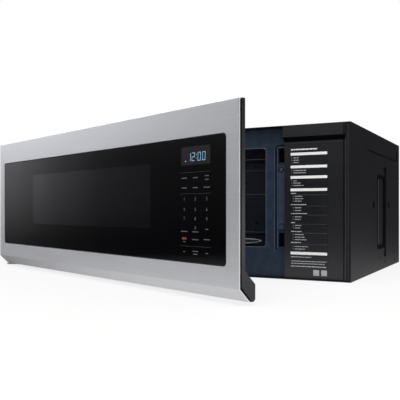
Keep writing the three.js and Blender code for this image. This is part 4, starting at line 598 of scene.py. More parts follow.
# Screen printed inks: matt, a little thin in patches; those behind the glass are dimmer.
inkWhite = makeFinish(
    "screenInkWhite", tones=("#fbfbfb", "#ffffff"), patch=5, grain=0.5, rough=(0.5, 0.62), lift=0.1)
inkGrey = makeFinish(
    "screenInkGrey", tones=("#b4b5b8", "#c2c3c6"), patch=4, grain=0.5, rough=(0.5, 0.62), lift=0.1)
inkDim = makeFinish(
    "screenInkDim", tones=("#56575b", "#626367"), patch=4, grain=0.5, rough=(0.5, 0.62), lift=0.1)
inkRed = makeFinish(
    "screenInkRed", tones=("#6a2230", "#782a38"), patch=4, grain=0.5, rough=(0.5, 0.62), lift=0.1)
inkLegend = makeFinish(
    "backPrintedLegend", tones=("#505155", "#5a5b5f"), patch=4, grain=0.5, rough=(0.4, 0.5), lift=0.05)
inkRule = makeFinish(
    "backPrintedRule", tones=("#2c2c2f", "#343437"), patch=4, grain=0.5, rough=(0.4, 0.5), lift=0.05)
# Soda-lime glass, printed black on its back: a clean mirror with barely any waviness.
blackGlass = makeFinish(
    "backPrintedGlass", tones=("#060607", "#08080a"), patch=120, grain=60, rough=(0.015, 0.04), lift=0.004,
    shader={"IOR": 1.52, "Specular IOR Level": 0.41})
# Smoke tinted glass of the door's window: dark, see-through only close up, and a stronger mirror.
smokeGlass = makeFinish(
    "smokedGlass", tones=("#3a3b40", "#3e3f45"), patch=80, grain=60, rough=(0.015, 0.03), lift=0.004,
    shader={"IOR": 1.7, "Transmission Weight": 1.0})
# Pressed soda-lime glass: clear, faintly green, with slow waves from the mould.
clearGlass = makeFinish(
    "pressedClearGlass", tones=("#dfe9e6", "#e8f0ee"), patch=60, grain=14, rough=(0.01, 0.03), lift=0.03,
    shader={"IOR": 1.52, "Transmission Weight": 1.0})
# Ground and frosted glass, as on the tray's rim: white where the light rakes it.
frostedGlass = makeFinish(
    "groundGlassRim", tones=("#e6eded", "#f1f5f5"), patch=10, grain=0.4, rough=(0.4, 0.55), lift=0.2,
    shader={"Transmission Weight": 0.1})
# Zinc plated steel: a dull grey metal with soft leaf-like spangles.
zincSteel = makeFinish(
    "zincPlatedSteel", tones=("#9c9fa3", "#b7babd"), patch=9, grain=7, cells=True, rough=(0.28, 0.46),
    lift=0.05, metallic=1.0)
# Mill finish aluminium: bright, streaked by rolling.
aluminium = makeFinish(
    "milledAluminium", tones=("#b9bbbe", "#cfd1d3"), patch=12, grain=1.2, rough=(0.3, 0.42), lift=0.12,
    metallic=1.0, stretch=(0.2, 1, 1))
# Enamelled copper wire over varnished laminations: reddish, glossy in the grooves.
copperWire = makeFinish(
    "enamelledCopper", tones=("#7a3c1e", "#9a5530"), patch=8, grain=1.1, rough=(0.25, 0.4), lift=0.5,
    metallic=0.8, stretch=(0.1, 0.1, 1))
# Solder mask over copper tracks: green lacquer with faint ridges.
circuitBoard = makeFinish(
    "solderMaskGreen", tones=("#12402a", "#1b5a3a"), patch=5, grain=2.4, cells=True, rough=(0.2, 0.32), lift=0.2)
# Unfilled nylon as moulded: warm white or grey, waxy.
nylonWhite = makeFinish(
    "mouldedNylonWhite", tones=("#d2d1cb", "#dedcd6"), patch=20, grain=1.0, rough=(0.38, 0.5), lift=0.1,
    shader={"Subsurface Weight": 0.06, "Subsurface Scale": 0.002})
nylonGrey = makeFinish(
    "mouldedNylonGrey", tones=("#606266", "#6c6e72"), patch=20, grain=1.0, rough=(0.4, 0.52), lift=0.12)
# Split mica sheet: pale brown flakes that shine a little.
mica = makeFinish(
    "splitMica", tones=("#9d8f78", "#c2b59c"), patch=6, grain=5, cells=True, rough=(0.2, 0.4), lift=0.1)
# Activated carbon granules held in a net: matt black, coarse.
carbon = makeFinish(
    "carbonGranules", tones=("#161617", "#2b2b2d"), patch=3, grain=2.6, cells=True, rough=(0.6, 0.8), lift=0.9)
# Black vitreous coat on the door's thin screen: smooth, with a soft sheen.
screenCoat = makeFinish(
    "screenCoatBlack", tones=("#131315", "#18181b"), patch=20, grain=0.6, rough=(0.3, 0.42), lift=0.1)
# Tinted film over the display: a shade paler than the print round it.
displayFilm = makeFinish(
    "tintedDisplayFilm", tones=("#211f22", "#262427"), patch=30, grain=2.0, rough=(0.08, 0.14), lift=0.02,
    shader={"Specular IOR Level": 0.4})
# The skin's hem in near white steel: a painted highlight, brighter than the brushed face beside it.
hemHighlight = makeFinish(
    "stainlessHemPaintedHighlight", tones=("#f2f2f4", "#fbfbfc"), patch=25, grain=0.8, rough=(0.3, 0.42), lift=0.05,
    metallic=0.45)

# Light emitting display segments: pale blue, slightly uneven like real diodes behind a diffuser.
ledBlue, tree = newMaterial("displaySegmentsBlue")
place = addNode(tree, "ShaderNodeTexCoord").outputs["Object"]
cloud = addNode(tree, "ShaderNodeTexNoise", {}, {"Vector": place, "Scale": 1 / (3 * mm)})
hue = addNode(tree, "ShaderNodeMix", {"data_type": "RGBA"}, {
    0: cloud, 6: hexLinear("#7fb4dc"), 7: hexLinear("#a9d3ee")})
surface = addNode(tree, "ShaderNodeBsdfPrincipled", {}, {
    "Base Color": hue.outputs[2], "Roughness": 0.4, "Emission Color": hue.outputs[2], "Emission Strength": 0.55})
addNode(tree, "ShaderNodeOutputMaterial", {}, {"Surface": surface})

# Ferritic stainless sheet, brushed along the door's length: fine straight hairlines that spread
# highlights upright. The hairlines are drawn near 0.7 mm wide, coarser than life, so that they show.
steel = {"tones": ("#d6d6d8", "#dfdfe1"), "hairline": 0.7, "streak": 160.0, "rough": (0.32, 0.42), "spread": 0.75}
brushedSteel, tree = newMaterial("brushedStainless")
fine = addNode(tree, "ShaderNodeMapping", {}, {
    "Vector": addNode(tree, "ShaderNodeUVMap", {"uv_map": "grain"}),
    "Scale": (1 / (steel["streak"] * mm), 1 / (steel["hairline"] * mm), 1)})
hairs = addNode(tree, "ShaderNodeTexNoise", {}, {"Vector": fine, "Scale": 1.0, "Detail": 5.0, "Roughness": 0.7})
share = addNode(tree, "ShaderNodeMapRange", {}, {"Value": hairs, "From Min": 0.35, "From Max": 0.65})
tone = addNode(tree, "ShaderNodeMix", {"data_type": "RGBA"}, {
    0: share, 6: hexLinear(steel["tones"][0]), 7: hexLinear(steel["tones"][1])})
gloss = addNode(tree, "ShaderNodeMapRange", {}, {
    "Value": hairs, "From Min": 0.3, "From Max": 0.7, "To Min": steel["rough"][0], "To Max": steel["rough"][1]})
bump = addNode(tree, "ShaderNodeBump", {}, {"Height": hairs, "Strength": 0.12, "Distance": 0.1 * mm})
surface = addNode(tree, "ShaderNodeBsdfPrincipled", {}, {
    "Base Color": tone.outputs[2], "Roughness": gloss, "Normal": bump, "Metallic": 0.88,
    "Anisotropic": steel["spread"], "Anisotropic Rotation": 0.25,
    "Tangent": addNode(tree, "ShaderNodeTangent", {"direction_type": "UV_MAP", "uv_map": "grain"})})
addNode(tree, "ShaderNodeOutputMaterial", {}, {"Surface": surface})
print("finishes are made")

# Every solid from the frame gets its finish; those not named here are zinc plated steel.
nodeFinishes = {
    "case_wrap": powderCoat, "base_plate": powderCoat, "face_plate": enamel, "cavity_liner": ovenEnamel,
    "control_side_panel": absBlack, "guide_label": labelFilm, "latch_housing": absBlack,
    "waveguide_cover": mica, "magnetron": aluminium, "hv_transformer": copperWire, "hv_capacitor": aluminium,
    "cooling_fan_shroud": absBlack, "power_board": circuitBoard, "cavity_lamp": nylonWhite,
    "cord_gland": absBlack, "blower_motor": nylonGrey, "charcoal_filter": carbon, "fan_blade": nylonWhite,
    "blower_wheel_left": nylonGrey, "blower_wheel_right": nylonGrey, "drive_coupler": nylonWhite,
    "roller_ring": nylonWhite, "roller_1": nylonWhite, "roller_2": nylonWhite, "roller_3": nylonWhite,
    "glass_tray": clearGlass, "door_skin": brushedSteel, "door_glass": blackGlass, "door_frame": absGrey,
    "choke_frame": powderCoat, "choke_cover": absBlack, "perforated_screen": screenCoat,
    "inner_window": clearGlass, "control_board": circuitBoard, "display_module": blackGlass,
    "door_rear_cover": absBlack, "latch_lever": nylonWhite}
for side in ("left", "right"):
    nodeFinishes["grease_filter_" + side] = aluminium
    nodeFinishes["cooktop_light_lens_" + side] = clearGlass
    nodeFinishes["cooktop_light_" + side] = nylonWhite
for switch in ("primary", "secondary", "monitor"):
    nodeFinishes[switch + "_switch"] = absBlack
    nodeFinishes[switch + "_plunger"] = nylonWhite
for name, node in nodes.items():
    node.data.materials.clear()
    node.data.materials.append(nodeFinishes.get(name, zincSteel))
print("frame solids dressed:", len(nodes))

# the roof's folds are the faces that turn between its top and its sides, above this height
roofFold = {"steepest": 0.2, "flattest": 0.98, "above": 262}
wrap = softenedPiece("case_wrap", 0.9, powderCoat, "cabinet", "case_paint")
wrap.data.materials.append(shadeBlack)
for face in wrap.data.polygons:  # painted shade: the folds take the black finish, dark as if in shadow
    if roofFold["steepest"] < face.normal.z < roofFold["flattest"] and face.center.z > roofFold["above"] * mm:
        face.material_index = 1

# Presses in both side walls, darkened where their steps throw shade; paths and dots are (y, z).
sideLook = {"wall": 378, "sunk": -0.6, "padFront": -14.5, "padBack": 54.5, "padLow": 46, "padHigh": 186,
            "padCorner": 7, "dots": ((-48, 130, 7.5), (100, 130, 7.5), (64, 13, 4), (13, 25, 3), (165, 27, 3),
                                     (165, 10, 3))}
corner = sideLook["padCorner"]
padPath = [(sideLook["padBack"], sideLook["padHigh"])]
for z, start in ((sideLook["padHigh"] - corner, 90), (sideLook["padLow"] + corner, 180)):
    padPath += arcPoints((sideLook["padFront"] + corner, z), corner, range(start, start + 91, 15))
padPath.append((sideLook["padBack"], sideLook["padLow"]))
# each strip's path, its width and how proud of the wall it is
shadeStrips = [(padPath, 7.0, 0.1), (((63, 24), (63, 208)), 18, 0.12), (((60, 25), (60, 34)), 26, 0.13),
               (((60, 198), (60, 207)), 26, 0.13), (((192, 229), (192, 250)), 11, 0.12),
               (((-104, 230.5), (192, 229.5)), 1.6, 0.1)]
# the strip beside the pad, in the paler coat, is a painted highlight
glintStrips = [([(y + 9, z) for y, z in padPath[7:-7]], 6.0, 0.08)]


def onWall(side, points, proud):
    return [(side * (sideLook["wall"] + proud), y, z) for y, z in points]


def flatStrip(bm, side, points, width, proud):
    sections = []
    for i, (y, z) in enumerate(points):
        y0, z0 = points[max(i - 1, 0)]
        y1, z1 = points[min(i + 1, len(points) - 1)]
        along = Vector((y1 - y0, z1 - z0)).normalized() * width / 2
        edges = [(y - along.y, z + along.x), (y + along.y, z - along.x)]
        sections.append(onWall(side, edges, proud) + onWall(side, reversed(edges), sideLook["sunk"]))
    sweepMesh(bm, sections)


for name, strips, dots, finish, slotName in (
        ("sidePressShade", shadeStrips, sideLook["dots"], shadeBlack, "panel_plastic"),
        ("sidePressGlint", glintStrips, (), powderHighlight, "case_paint")):
    bm = bmesh.new()
    for side in (-1, 1):
        for strip in strips:
            flatStrip(bm, side, *strip)
        for y, z, radius in dots:
            rim = arcPoints((y, z), radius, [22.5 * k for k in range(16)])
            sweepMesh(bm, [onWall(side, rim, 0.1), onWall(side, rim, sideLook["sunk"])])
    addShape(name, bm, finish, "cabinet")

panelLook = {"front": -225.0, "browFront": -215.2, "low": 4, "slopeAbove": 230, "slopeBefore": -210}
panel = softenedPiece("control_side_panel", 0.5, absBlack, "cabinet", "panel_plastic")
panel.data.materials.append(shadeBlack)
for face in panel.data.polygons:  # painted shade: the slope under the brow takes the black finish
    middle = face.center / mm
    if face.normal.z < -0.3 and middle.z > panelLook["slopeAbove"] and middle.y < panelLook["slopeBefore"]:
        face.material_index = 1
# ridges down the panel's right edge and along its top, in the paler coat: painted highlight lines
addBeads("panelRidges", [
    (0.7, [(369.6, panelLook["front"], panelLook["low"]), (369.6, panelLook["front"], 240)]),
    (0.5, [(373.6, panelLook["front"], panelLook["low"]), (373.6, panelLook["front"], 262)]),
    (0.8, [(262, panelLook["browFront"], 236.6), (364.5, panelLook["browFront"], 236.6)]),
], powderHighlight)
# a black bead beside the ridges: painted shade for the step between the panel's recess and its right cheek
addBeads("panelStepShade", [
    (0.7, [(366.4, panelLook["front"], panelLook["low"]), (366.4, panelLook["front"], 264)]),
], shadeBlack)
softenedPiece("face_plate", 0.35, enamel, "cabinet", "enamel")
softenedPiece("cavity_liner", 0.35, ovenEnamel, "cabinet", "enamel")
print("cabinet shells are rounded")

# Rolled edge round the oven's mouth, and the latch's raised pocket to its right with a ring and a boss. The pale
# beads along these edges are a painted highlight; the black beads on the pocket's edge and round the screw and boss
# are painted shade.
pocket = {"plate": -205.0, "left": 239.5, "right": 264.8, "top": 234.5, "screw": (249.5, 192), "screwRing": 4.5,
          "boss": (250.5, 91.8), "bossRing": 4.2, "mouth": (-272.6, 220.6, 53.4, 231.6, 6, 8)}
plate = pocket["plate"]


def pocketPath(inset, corner, bottom):
    left, top = pocket["left"] + inset, pocket["top"] - inset
    arc = arcPoints((left + corner, top - corner), corner, range(90, 181, 15))
    return onFront([(pocket["right"], top)] + arc + [(left, bottom)], plate)


addBeads("mouthBeads", [
    (0.8, onFront(roundedRectangle(*pocket["mouth"]), plate + 0.1), True),
    (0.75, pocketPath(2.9, 2.4, 52.0)),
    (0.55, [(236.8, plate, 228), (236.8, plate, 46)]),
], enamelHighlight)
addBeads("pocketGroove", [
    (0.85, pocketPath(0, 4.5, 49.0)),
    (0.7, onFront(arcPoints(pocket["boss"], pocket["bossRing"], range(0, 190, 15)), plate - 0.4)),
    (0.75, onFront(arcPoints(pocket["screw"], pocket["screwRing"], range(0, 360, 20)), plate - 0.4), True),
], shadeBlack)
bm = bmesh.new()
prismMesh(bm, roundedRectangle(244.4, 265.4, 86, 199, 1.5), plate - 0.5, plate + 0.3)
addShape("pocketPlate", bm, enamelPlate, "cabinet")

# Pressed ribs on the oven's back wall and ceiling, drawn as pale beads that are a painted highlight, and the
# grooves between them, drawn as black beads that are painted shade.
oven = {"left": -255, "right": 205, "ribs": (213.6, 156.4, 146.3, 134.3, 66.5), "grooves": (151.4, 128.5, 60.5)}
ribs = [(1.1, 129.6, z) for z in oven["ribs"]] + [(1.2, 13.7, 230.6)]
grooves = [(1.2, 129.8, z) for z in oven["grooves"]]
for name, lines, finish in (("ovenRibs", ribs, ribHighlightEnamel), ("ovenGrooves", grooves, shadeBlack)):
    addBeads(name, [(radius, [(oven["left"], y, z), (oven["right"], y, z)]) for radius, y, z in lines],
             finish)

# Turntable tray: a dished glass with a ground rim, turned about its middle.
tray = {"middle": (-26, -37.5),
        "dish": ((0, 44.6), (139, 44.6), (142, 45.2), (152, 49.6), (156.2, 50.6), (157.4, 51.2), (154.6, 52.0),
                 (150, 51.2), (143.5, 48.9), (141, 48.6), (0, 48.6)),
        "rim": ((154.0, 51.6), (157.2, 51.0), (157.9, 51.4), (158.0, 52.0), (157.5, 52.5), (156.6, 52.6),
                (154.6, 52.1))}
for name, part, finish, replaced in (
        ("trayDish", "dish", clearGlass, ["glass_tray"]), ("trayRim", "rim", frostedGlass, ())):
    bm = bmesh.new()
    latheMesh(bm, tray[part], tray["middle"])
    addShape(name, bm, finish, "turntable", replaced)
print("oven and tray are set")

# Cooking guide on the panel: generic bars, rules and dashes.
guide = {"left": 270.2, "right": 335.8, "low": 7.0, "high": 227.0, "front": -215.3, "film": 0.12, "ink": 0.08,
         "heights": {"title": 2.2, "head": 1.5, "row": 1.15}, "barHalf": 2.35, "margin": 0.3, "indented": 272,
         "rulesAbove": 60, "dash": 2.6, "dashStep": 0.45, "dashGap": 0.75, "dashLeast": 1.2,
         "squares": ((311.2, 321.6), (325.2, 335.2))}
guideLeft, guideRight = guide["left"] + guide["margin"], guide["right"] - guide["margin"]
bm = bmesh.new()
outline = roundedRectangle(guide["left"] - 0.2, guide["right"] + 0.2, guide["low"], guide["high"], 1.5)
prismMesh(bm, outline, guide["front"] - guide["film"], guide["front"] + 0.25)
addShape("guideFilm", bm, labelFilm, "cabinet", ["guide_label"])


def inkBar(bm, left, right, low, high):
    face = guide["front"] - guide["film"]
    blockMesh(bm, (left, face - guide["ink"], low), (right, face + 0.03, high))


# z of each row, where its dashes start and stop, and what it is
guideRows = [
    (225.2, 271.2, 318, "title"), (217.4, 0, 0, "bar"), (210.9, 275.9, 285.3, "row"), (206.7, 275.9, 285.3, "row"),
    (202.7, 275.9, 285.3, "row"), (195.2, 0, 0, "bar"), (188.9, 275.9, 298.6, "row"), (184.8, 275.9, 298.6, "row"),
    (177.0, 0, 0, "bar"), (170.9, 275.9, 281.4, "row"), (167.1, 275.9, 290.0, "row"), (162.8, 275.9, 293.9, "row"),
    (155.3, 0, 0, "bar"), (149.0, 271.2, 282.2, "head"), (144.1, 278.3, 292.3, "row"), (139.8, 278.3, 294.7, "row"),
    (135.6, 278.3, 290.8, "row"), (129.5, 271.2, 298.6, "head"), (124.1, 278.3, 290.0, "row"),
    (119.5, 278.3, 289.2, "row"), (114.1, 271.2, 300.1, "head"), (108.4, 278.3, 290.0, "row"),
    (104.1, 278.3, 289.2, "row"), (98.3, 271.2, 279.1, "head"), (93.4, 278.3, 290.0, "row"),
    (89.1, 278.3, 289.2, "row"), (82.9, 271.2, 290.0, "head"), (77.7, 278.3, 293.9, "row"),
    (73.1, 278.3, 297.0, "row"), (68.8, 278.3, 299.4, "row"), (63.7, 271.2, 289.2, "head"),
    (56.9, 278.3, 301.7, "row"), (52.6, 278.3, 297.8, "row"), (45.3, 0, 0, "bar"), (38.8, 271.2, 307.9, "row"),
    (31.6, 271.6, 335.0, "row"), (27.6, 271.6, 333.0, "row"), (22.7, 271.2, 335.6, "head")]


def inkDashes(bm, left, right, z, height, step):
    # dashes of uneven length from left to right
    while left < right - guide["dashLeast"]:
        step = (step * 7 + 3) % 11
        stop = min(left + guide["dash"] + guide["dashStep"] * step, right)
        inkBar(bm, left, stop, z - height / 2, z + height / 2)
        left = stop + guide["dashGap"]


whiteInk, greyInk, dimInk = bmesh.new(), bmesh.new(), bmesh.new()
for i, (z, left, right, kind) in enumerate(guideRows):
    if kind == "bar":
        inkBar(whiteInk, guideLeft, guideRight, z - guide["barHalf"], z + guide["barHalf"])
        continue
    inkDashes(whiteInk if kind == "title" else greyInk, left, right, z, guide["heights"][kind], i)
    if kind == "row" and left > guide["indented"]:  # the mark before an indented row
        inkBar(greyInk, left - 3.6, left - 2.6, z - 0.5, z + 0.5)
    if kind == "head" and z > guide["rulesAbove"]:  # the rule that runs on from a heading
        inkBar(dimInk, right + 1, guideRight, z - 2.7, z - 2.35)
for left, right in guide["squares"]:
    inkBar(greyInk, left, right, 7.6, 17.4)
for name, bm, finish in (("guideWhitePrint", whiteInk, inkWhite), ("guideGreyPrint", greyInk, inkGrey),
                         ("guideRules", dimInk, inkDim)):
    addShape(name, bm, finish, "cabinet")
print("cooking guide is printed")

# The skin's section in (t, z) goes from the top return down the face, round the chin and to the lip.
skinLook = {"width": 758.2, "corners": ((3.5, 262), (0, 262), (0, 21), (17, 4), (19, 4)), "folds": (1.2, 2.4, 1.2),
            "sheet": 1.0, "hem": 1.7, "hemWidth": 3.0, "ends": ((0, 0.7), (0.12, 0.4), (0.35, 0.15), (0.8, 0)),
            "hole": (23, 734, 48, 220, 6), "holeEdge": 0.4, "holeSteps": 10,
            "gapShadeDepths": (1.65, 3.3), "gapShadeSpans": ((0.1, 3.0), (756.0, 758.9))}


def skinSide(depth, steps=5):
    # the section's corners moved inward by a depth, then rounded by what is left of each fold
    corners = [Vector(c) for c in skinLook["corners"]]
    moved = []
    for i, corner in enumerate(corners):
        before = (corner - corners[i - 1]).normalized() if i else None
        after = (corners[i + 1] - corner).normalized() if i < len(corners) - 1 else None
        along = ((before or after) + (after or before)).normalized()
        moved.append(corner + Vector((-along.y, along.x)) * depth / (before or after).dot(along))
    path = [moved[0]]
    for i, fold in enumerate(skinLook["folds"], 1):
        radius = max(fold - depth, 0.08)
        toBefore = (moved[i - 1] - moved[i]).normalized()
        toAfter = (moved[i + 1] - moved[i]).normalized()
        half = toBefore.angle(toAfter) / 2
        middle = moved[i] + (toBefore + toAfter).normalized() * radius / math.sin(half)
        start = (moved[i] + toBefore * radius / math.tan(half) - middle).normalized()
        stop = (moved[i] + toAfter * radius / math.tan(half) - middle).normalized()
        path += [middle + start.slerp(stop, k / steps) * radius for k in range(steps + 1)]
    return path + [moved[-1]]


stations = [(u, ease, skinLook["hem"]) for u, ease in skinLook["ends"]]
stations += [(skinLook["hemWidth"], 0, skinLook["hem"]), (skinLook["hemWidth"] + 0.05, 0, skinLook["sheet"])]
stations += [(skinLook["width"] - u, ease, depth) for u, ease, depth in reversed(stations)]
bm = bmesh.new()
sweepMesh(bm, [[(u, *p) for p in skinSide(ease) + list(reversed(skinSide(depth)))] for u, ease, depth in stations])
bm.normal_update()
# the two large flats are opened for the pane, with the hole's edge turned a little
wide = sorted((f for f in bm.faces if abs(f.normal.y) > 0.99), key=lambda f: -f.calc_area())[:2]
flats = {}
for face in wide:
    spots = sorted(face.verts, key=lambda v: (v.co.z, v.co.x))
    flats[round(spots[0].co.y)] = [spots[3], spots[2], spots[0], spots[1]]  # right top round to right bottom
bmesh.ops.delete(bm, geom=wide, context="FACES_ONLY")
left, right, low, high, corner = skinLook["hole"]
edge = skinLook["holeEdge"]
rings = []
for grow, t in ((edge, 0), (edge * 0.3, edge * 0.3), (0, edge), (0, skinLook["sheet"])):
    outline = roundedRectangle(left - grow, right + grow, low - grow, high + grow, corner + grow,
                               skinLook["holeSteps"])
    rings.append(addRing(bm, onFront(outline, t)))
joinRings(bm, zip(rings, rings[1:]))
perCorner = skinLook["holeSteps"] + 1
for ring, frameCorners in ((rings[0], flats[0]), (rings[-1], flats[1])):
    for i in range(4):  # each face spans from the middle of one corner of the hole to the middle of the next
        start = i * perCorner + perCorner // 2
        span = [ring[(start + k) % len(ring)] for k in range(perCorner + 1)]
        bm.faces.new([frameCorners[i]] + span + [frameCorners[(i + 1) % 4]])
skin = meshFrom(bm, "doorSkin")
grain = skin.uv_layers.new(name="grain")
for face in skin.polygons:
    sideways = abs(face.normal.x) > 0.7
    for loop in face.loop_indices:
        spot = skin.vertices[skin.loops[loop].vertex_index].co
        grain.data[loop].uv = (spot.y + spot.x, spot.z) if sideways else (spot.x, spot.z - spot.y)
ends = [face.index for face in skin.polygons if abs(face.normal.x) > 0.7 and face.center.y > 0.2 * mm]
skin.transform(doorTurn)
addPiece("doorSkin", skin, brushedSteel, "door", ["door_skin"])
# the hem faces at each end take the painted highlight
skin.materials.append(hemHighlight)
for index in ends:
    skin.polygons[index].material_index = 1

# Black strips on each end, between the steel's hem and the frame's end cap: painted shade for the dark gap there.
bm = bmesh.new()
near, far = [skinSide(depth)[4:-1] for depth in skinLook["gapShadeDepths"]]
for gapSpan in skinLook["gapShadeSpans"]:
    sweepMesh(bm, [[(u, *p) for p in near + list(reversed(far))] for u in gapSpan])
addShape("doorEndGapShade", bm, shadeBlack, "door", place=doorTurn)

# The glass: its printed border and its clear window have their own finish.
pane = {"left": 23.9, "right": 733.1, "low": 48.9, "high": 219.1, "corner": 5.1, "front": 0.4, "thick": 4.0,
        "bevel": 0.35, "window": (165.0, 566.5, 93.0, 189.0), "windowCorner": 3.0}
bm = bmesh.new()
front, back, bevel = pane["front"], pane["front"] + pane["thick"], pane["bevel"]
rings = []
for inset, t in ((bevel, front), (0, front + bevel), (0, back - bevel), (bevel, back)):
    outline = roundedRectangle(pane["left"] + inset, pane["right"] - inset, pane["low"] + inset,
                               pane["high"] - inset, pane["corner"] - inset, 8)
    rings.append(addRing(bm, onFront(outline, t)))
pairs = list(zip(rings, rings[1:]))
for ring, t in ((rings[0], front), (rings[3], back)):
    window = addRing(bm, onFront(roundedRectangle(*pane["window"], pane["windowCorner"], 8), t))
    bm.faces.new(window).material_index = 1
    pairs.append((ring, window))
joinRings(bm, pairs)
glass = meshFrom(bm, "doorGlassPane", doorTurn)
glass.materials.append(blackGlass)
glass.materials.append(smokeGlass)
addPiece("doorGlass", glass, None, "door", ["door_glass"])
softenedPiece("door_frame", 1.1, absGrey, "door", "door_plastic", segments=3)
softenedPiece("choke_cover", 0.4, absBlack, "door", "panel_plastic")
softenedPiece("door_rear_cover", 0.6, absBlack, "door", "panel_plastic")

# The latch's spring, a copy of its solid with a mesh of its own; on the real door it gives way by 4 mm of its 28 as
# the lever rises under it.
spring = addPiece("latchSpring", softenedMesh("latch_spring", 0), zincSteel, "door", ["latch_spring"])
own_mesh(spring)

# Printed legends on the pane's front face: u, z, width and height of each bar, and the keypad's figures.
legend = {"front": 0.34, "back": 0.42, "columns": (647.7, 671.7, 695.6), "figureHeight": 4.4, "figureFront": 0.37,
          "keys": {135.8: "123", 121.6: "456", 109.0: "789", 96.5: " 0 "}}
legendWords = [
    (647.7, 164.7, 12), (671.7, 164.6, 10), (695.6, 166.4, 8), (695.6, 161.5, 8), (647.7, 151.2, 11),
    (671.7, 151.05, 11), (695.6, 151.1, 13), (647.7, 91.1, 14), (671.7, 91.1, 12), (695.6, 95.1, 6),
    (671.7, 80.5, 13), (695.6, 81.4, 12), (647.7, 76.9, 5), (647.7, 63.1, 4), (671.7, 64.6, 12), (671.7, 60.8, 9),
    (695.6, 63.1, 5)]
for name, bars, finish in (
        ("legendBars", [(u, z, width, 1.15) for u, z, width in legendWords], inkLegend),
        ("legendRules", [(671, z, 66, 0.35) for z in (172.1, 142.9, 71.2)], inkRule),
        ("stopMark", [(647.7, 81.4, 10, 3.0)], inkRed)):
    bm = bmesh.new()
    for u, z, width, height in bars:
        blockMesh(bm, (u - width / 2, legend["front"], z - height / 2),
                  (u + width / 2, legend["back"], z + height / 2))
    addShape(name, bm, finish, "door", place=doorTurn)


def figureMesh(text, u, z, height):
    curve = bpy.data.curves.new("figure", "FONT")
    curve.body = text
    curve.size = height / 0.7
    curve.align_x = "CENTER"
    curve.extrude = 0.03
    shape = bpy.data.objects.new("figure", curve)
    scene.collection.objects.link(shape)
    bpy.context.view_layer.update()
    mesh = bpy.data.meshes.new_from_object(shape.evaluated_get(bpy.context.evaluated_depsgraph_get()))
    bpy.data.objects.remove(shape)
    spot = Matrix.Translation((u, legend["figureFront"], z - height / 2))
    mesh.transform(spot @ Matrix.Rotation(math.pi / 2, 4, "X"))
    return mesh


bm = bmesh.new()
for z, row in legend["keys"].items():
    for text, u in zip(row, legend["columns"]):
        if text.strip():
            bm.from_mesh(figureMesh(text, u, z, legend["figureHeight"]))
addPiece("keypadNumerals", meshFrom(bm, "keypadNumerals", doorTurn, outward=False), inkLegend, "door")

# Seven-segment clock, leaning a little, on its tinted window.
clock = {"low": 187.3, "width": 6.2, "height": 11.6, "stroke": 0.85, "gap": 0.18, "lean": 0.06, "front": 0.33,
         "back": 0.42, "digits": (("1", 655.4), ("2", 664.0), ("0", 676.6), ("0", 686.2)), "colon": 673.2,
         "mark": 650.9, "window": (641.3, 702.6, 182.3, 207.3, 0.8), "windowFront": 0.37}
segments = {"0": "abcdef", "1": "bc", "2": "abged"}
wide, tall, stroke, half = clock["width"], clock["height"], clock["stroke"], clock["height"] / 2
segmentBoxes = {
    "a": (0, wide, tall - stroke, tall), "g": (0, wide, half - stroke / 2, half + stroke / 2),
    "d": (0, wide, 0, stroke), "f": (0, stroke, half, tall), "b": (wide - stroke, wide, half, tall),
    "e": (0, stroke, 0, half), "c": (wide - stroke, wide, 0, half)}
bm = bmesh.new()
prismMesh(bm, roundedRectangle(*clock["window"]), clock["windowFront"], clock["back"])
addShape("displayWindow", bm, displayFilm, "door", place=doorTurn)
lit = [(clock["colon"], clock["colon"] + 1.0, z, z + 1.0) for z in (190.4, 195.2)]
lit.append((clock["mark"] - 1.1, clock["mark"] + 1.1, 187.4, 188.2))
for digit, start in clock["digits"]:
    for letter in segments[digit]:
        left, right, low, high = segmentBoxes[letter]
        lit.append((start + left + clock["gap"], start + right - clock["gap"],
                    clock["low"] + low + clock["gap"], clock["low"] + high - clock["gap"]))
bm = bmesh.new()
for left, right, low, high in lit:
    points = ((left, low), (right, low), (right, high), (left, high))
    prismMesh(bm, [(x + clock["lean"] * (z - clock["low"]), z) for x, z in points], clock["front"], clock["back"])
addShape("clockSegments", bm, ledBlue, "door", place=doorTurn)
print("door is dressed")

# Screws: one in the latch pocket, the hinges' four, and those round the back, the base and the door.
outFront, outBack, outDown = (0, -1, 0), (0, 1, 0), (0, 0, -1)
plainScrews = [(x, -205.8, z, outFront) for x in (-369, -357) for z in (255.5, 12)]
plainScrews += [(x, 225.4, z, outBack) for x in (-369, -190, 190, 369) for z in (9, 258)]
plainScrews += [(x, 225.4, 133, outBack) for x in (-369, 369)]
baseScrews = [(x, y, 0.25, outDown) for x in (-350, 350) for y in (-205, 0, 205)]
baseScrews += [(x, y, 0.25, outDown) for x in (-120, 120) for y in (-205, 205)]
doorScrews = [(u, 28.3, z, outBack) for u in (628, 728) for z in (54, 235)]
pocketScrew = [(pocket["screw"][0], plate - 0.5, pocket["screw"][1], outFront)]
# each set's places, head radius, head height, finish, body and frame
screwSets = {
    "pocketScrews": (pocketScrew, 3.6, 1.6, enamelHighlight, "cabinet", Matrix()),
    "cabinetScrews": (plainScrews, 3.4, 1.8, zincSteel, "cabinet", Matrix()),
    "baseScrews": (baseScrews, 3.4, 0.6, zincSteel, "cabinet", Matrix()),
    "doorScrews": (doorScrews, 3.2, 1.6, zincSteel, "door", doorTurn)}
for name, (points, radius, height, finish, body, place) in screwSets.items():
    addPiece(name, screwMesh(points, radius, height, finish, place), None, body)

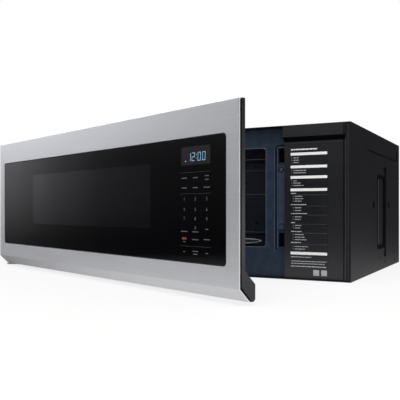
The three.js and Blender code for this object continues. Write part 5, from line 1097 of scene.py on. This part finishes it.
# The door's screen: a perforated sheet inside a plain margin.
screen = {"window": (165.0, 566.5, 93.0, 189.0), "outer": (153.0, 578.5, 81.0, 201.0), "front": 43.7, "thick": 0.6,
          "pitch": 3.7, "open": 0.7, "lap": 1}
left, right, low, high = screen["window"]
middle = Vector(((left + right) / 2, screen["front"], (low + high) / 2)) * mm
sheetMesh = runGroup(sheetGroup, bpy.data.meshes.new("sheetSeed"), {
    "Wide": (right - left) * mm, "High": (high - low) * mm, "Pitch": screen["pitch"] * mm,
    "Open share": screen["open"], "Thickness": screen["thick"] * mm, "Finish": screenCoat},
    doorTurn @ Matrix.Translation(middle) @ Matrix.Rotation(math.pi / 2, 4, "X"))
addPiece("perforatedSheet", sheetMesh, None, "door", ["perforated_screen"])
outerLeft, outerRight, outerLow, outerHigh = screen["outer"]
left, right, low, high = [edge + screen["lap"] * way for edge, way in zip(screen["window"], (1, -1, 1, -1))]
bm = bmesh.new()
for x0, x1, z0, z1 in ((outerLeft, left, outerLow, outerHigh), (right, outerRight, outerLow, outerHigh),
                       (left, right, outerLow, low), (left, right, high, outerHigh)):
    blockMesh(bm, (x0, screen["front"] - 0.05, z0), (x1, screen["front"] + 0.7, z1))
addShape("screenMargin", bm, screenCoat, "door", place=doorTurn)
print("screen is perforated:", len(sheetMesh.polygons))

# Grease filters: a folded aluminium frame, mitred at its corners, with woven mesh inside it.
filters = {"wide": 194, "deep": 127, "middleY": 75, "low": 1.3, "rim": 7, "inset": 6, "meshZ": 4.8, "pitch": 3.6,
           "strand": 0.9, "wave": 0.55, "middles": {"left": -140, "right": 140}}
rim = filters["rim"]
rimProfile = ((0.4, 0), (rim, 0), (rim, 1.2), (1.4, 1.2), (1.4, 6.8), (rim - 1, 6.8), (rim - 1, 8.0), (0.4, 8.0),
              (0, 7.6), (0, 0.4))
for side, middle in filters["middles"].items():
    body = side + "_grease_filter"
    bm = bmesh.new()
    sections = []
    for wayX, wayY in ((1, 1), (-1, 1), (-1, -1), (1, -1)):
        x = middle - wayX * filters["wide"] / 2
        y = filters["middleY"] - wayY * filters["deep"] / 2
        sections.append([(x + wayX * d, y + wayY * d, filters["low"] + z) for d, z in rimProfile])
    sweepMesh(bm, sections, closed=True)
    addShape(side + "FilterFrame", bm, aluminium, body, ["grease_filter_" + side])
    weave = runGroup(weaveGroup, bpy.data.meshes.new("weaveSeed"), {
        "Wide": (filters["wide"] - filters["inset"]) * mm, "High": (filters["deep"] - filters["inset"]) * mm,
        "Pitch": filters["pitch"] * mm, "Strand": filters["strand"] * mm, "Wave": filters["wave"] * mm,
        "Finish": aluminium},
        Matrix.Translation((middle * mm, filters["middleY"] * mm, filters["meshZ"] * mm)))
    addPiece(side + "FilterWeave", weave, None, body)
print("filters are woven:", len(weave.polygons))

low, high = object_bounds()
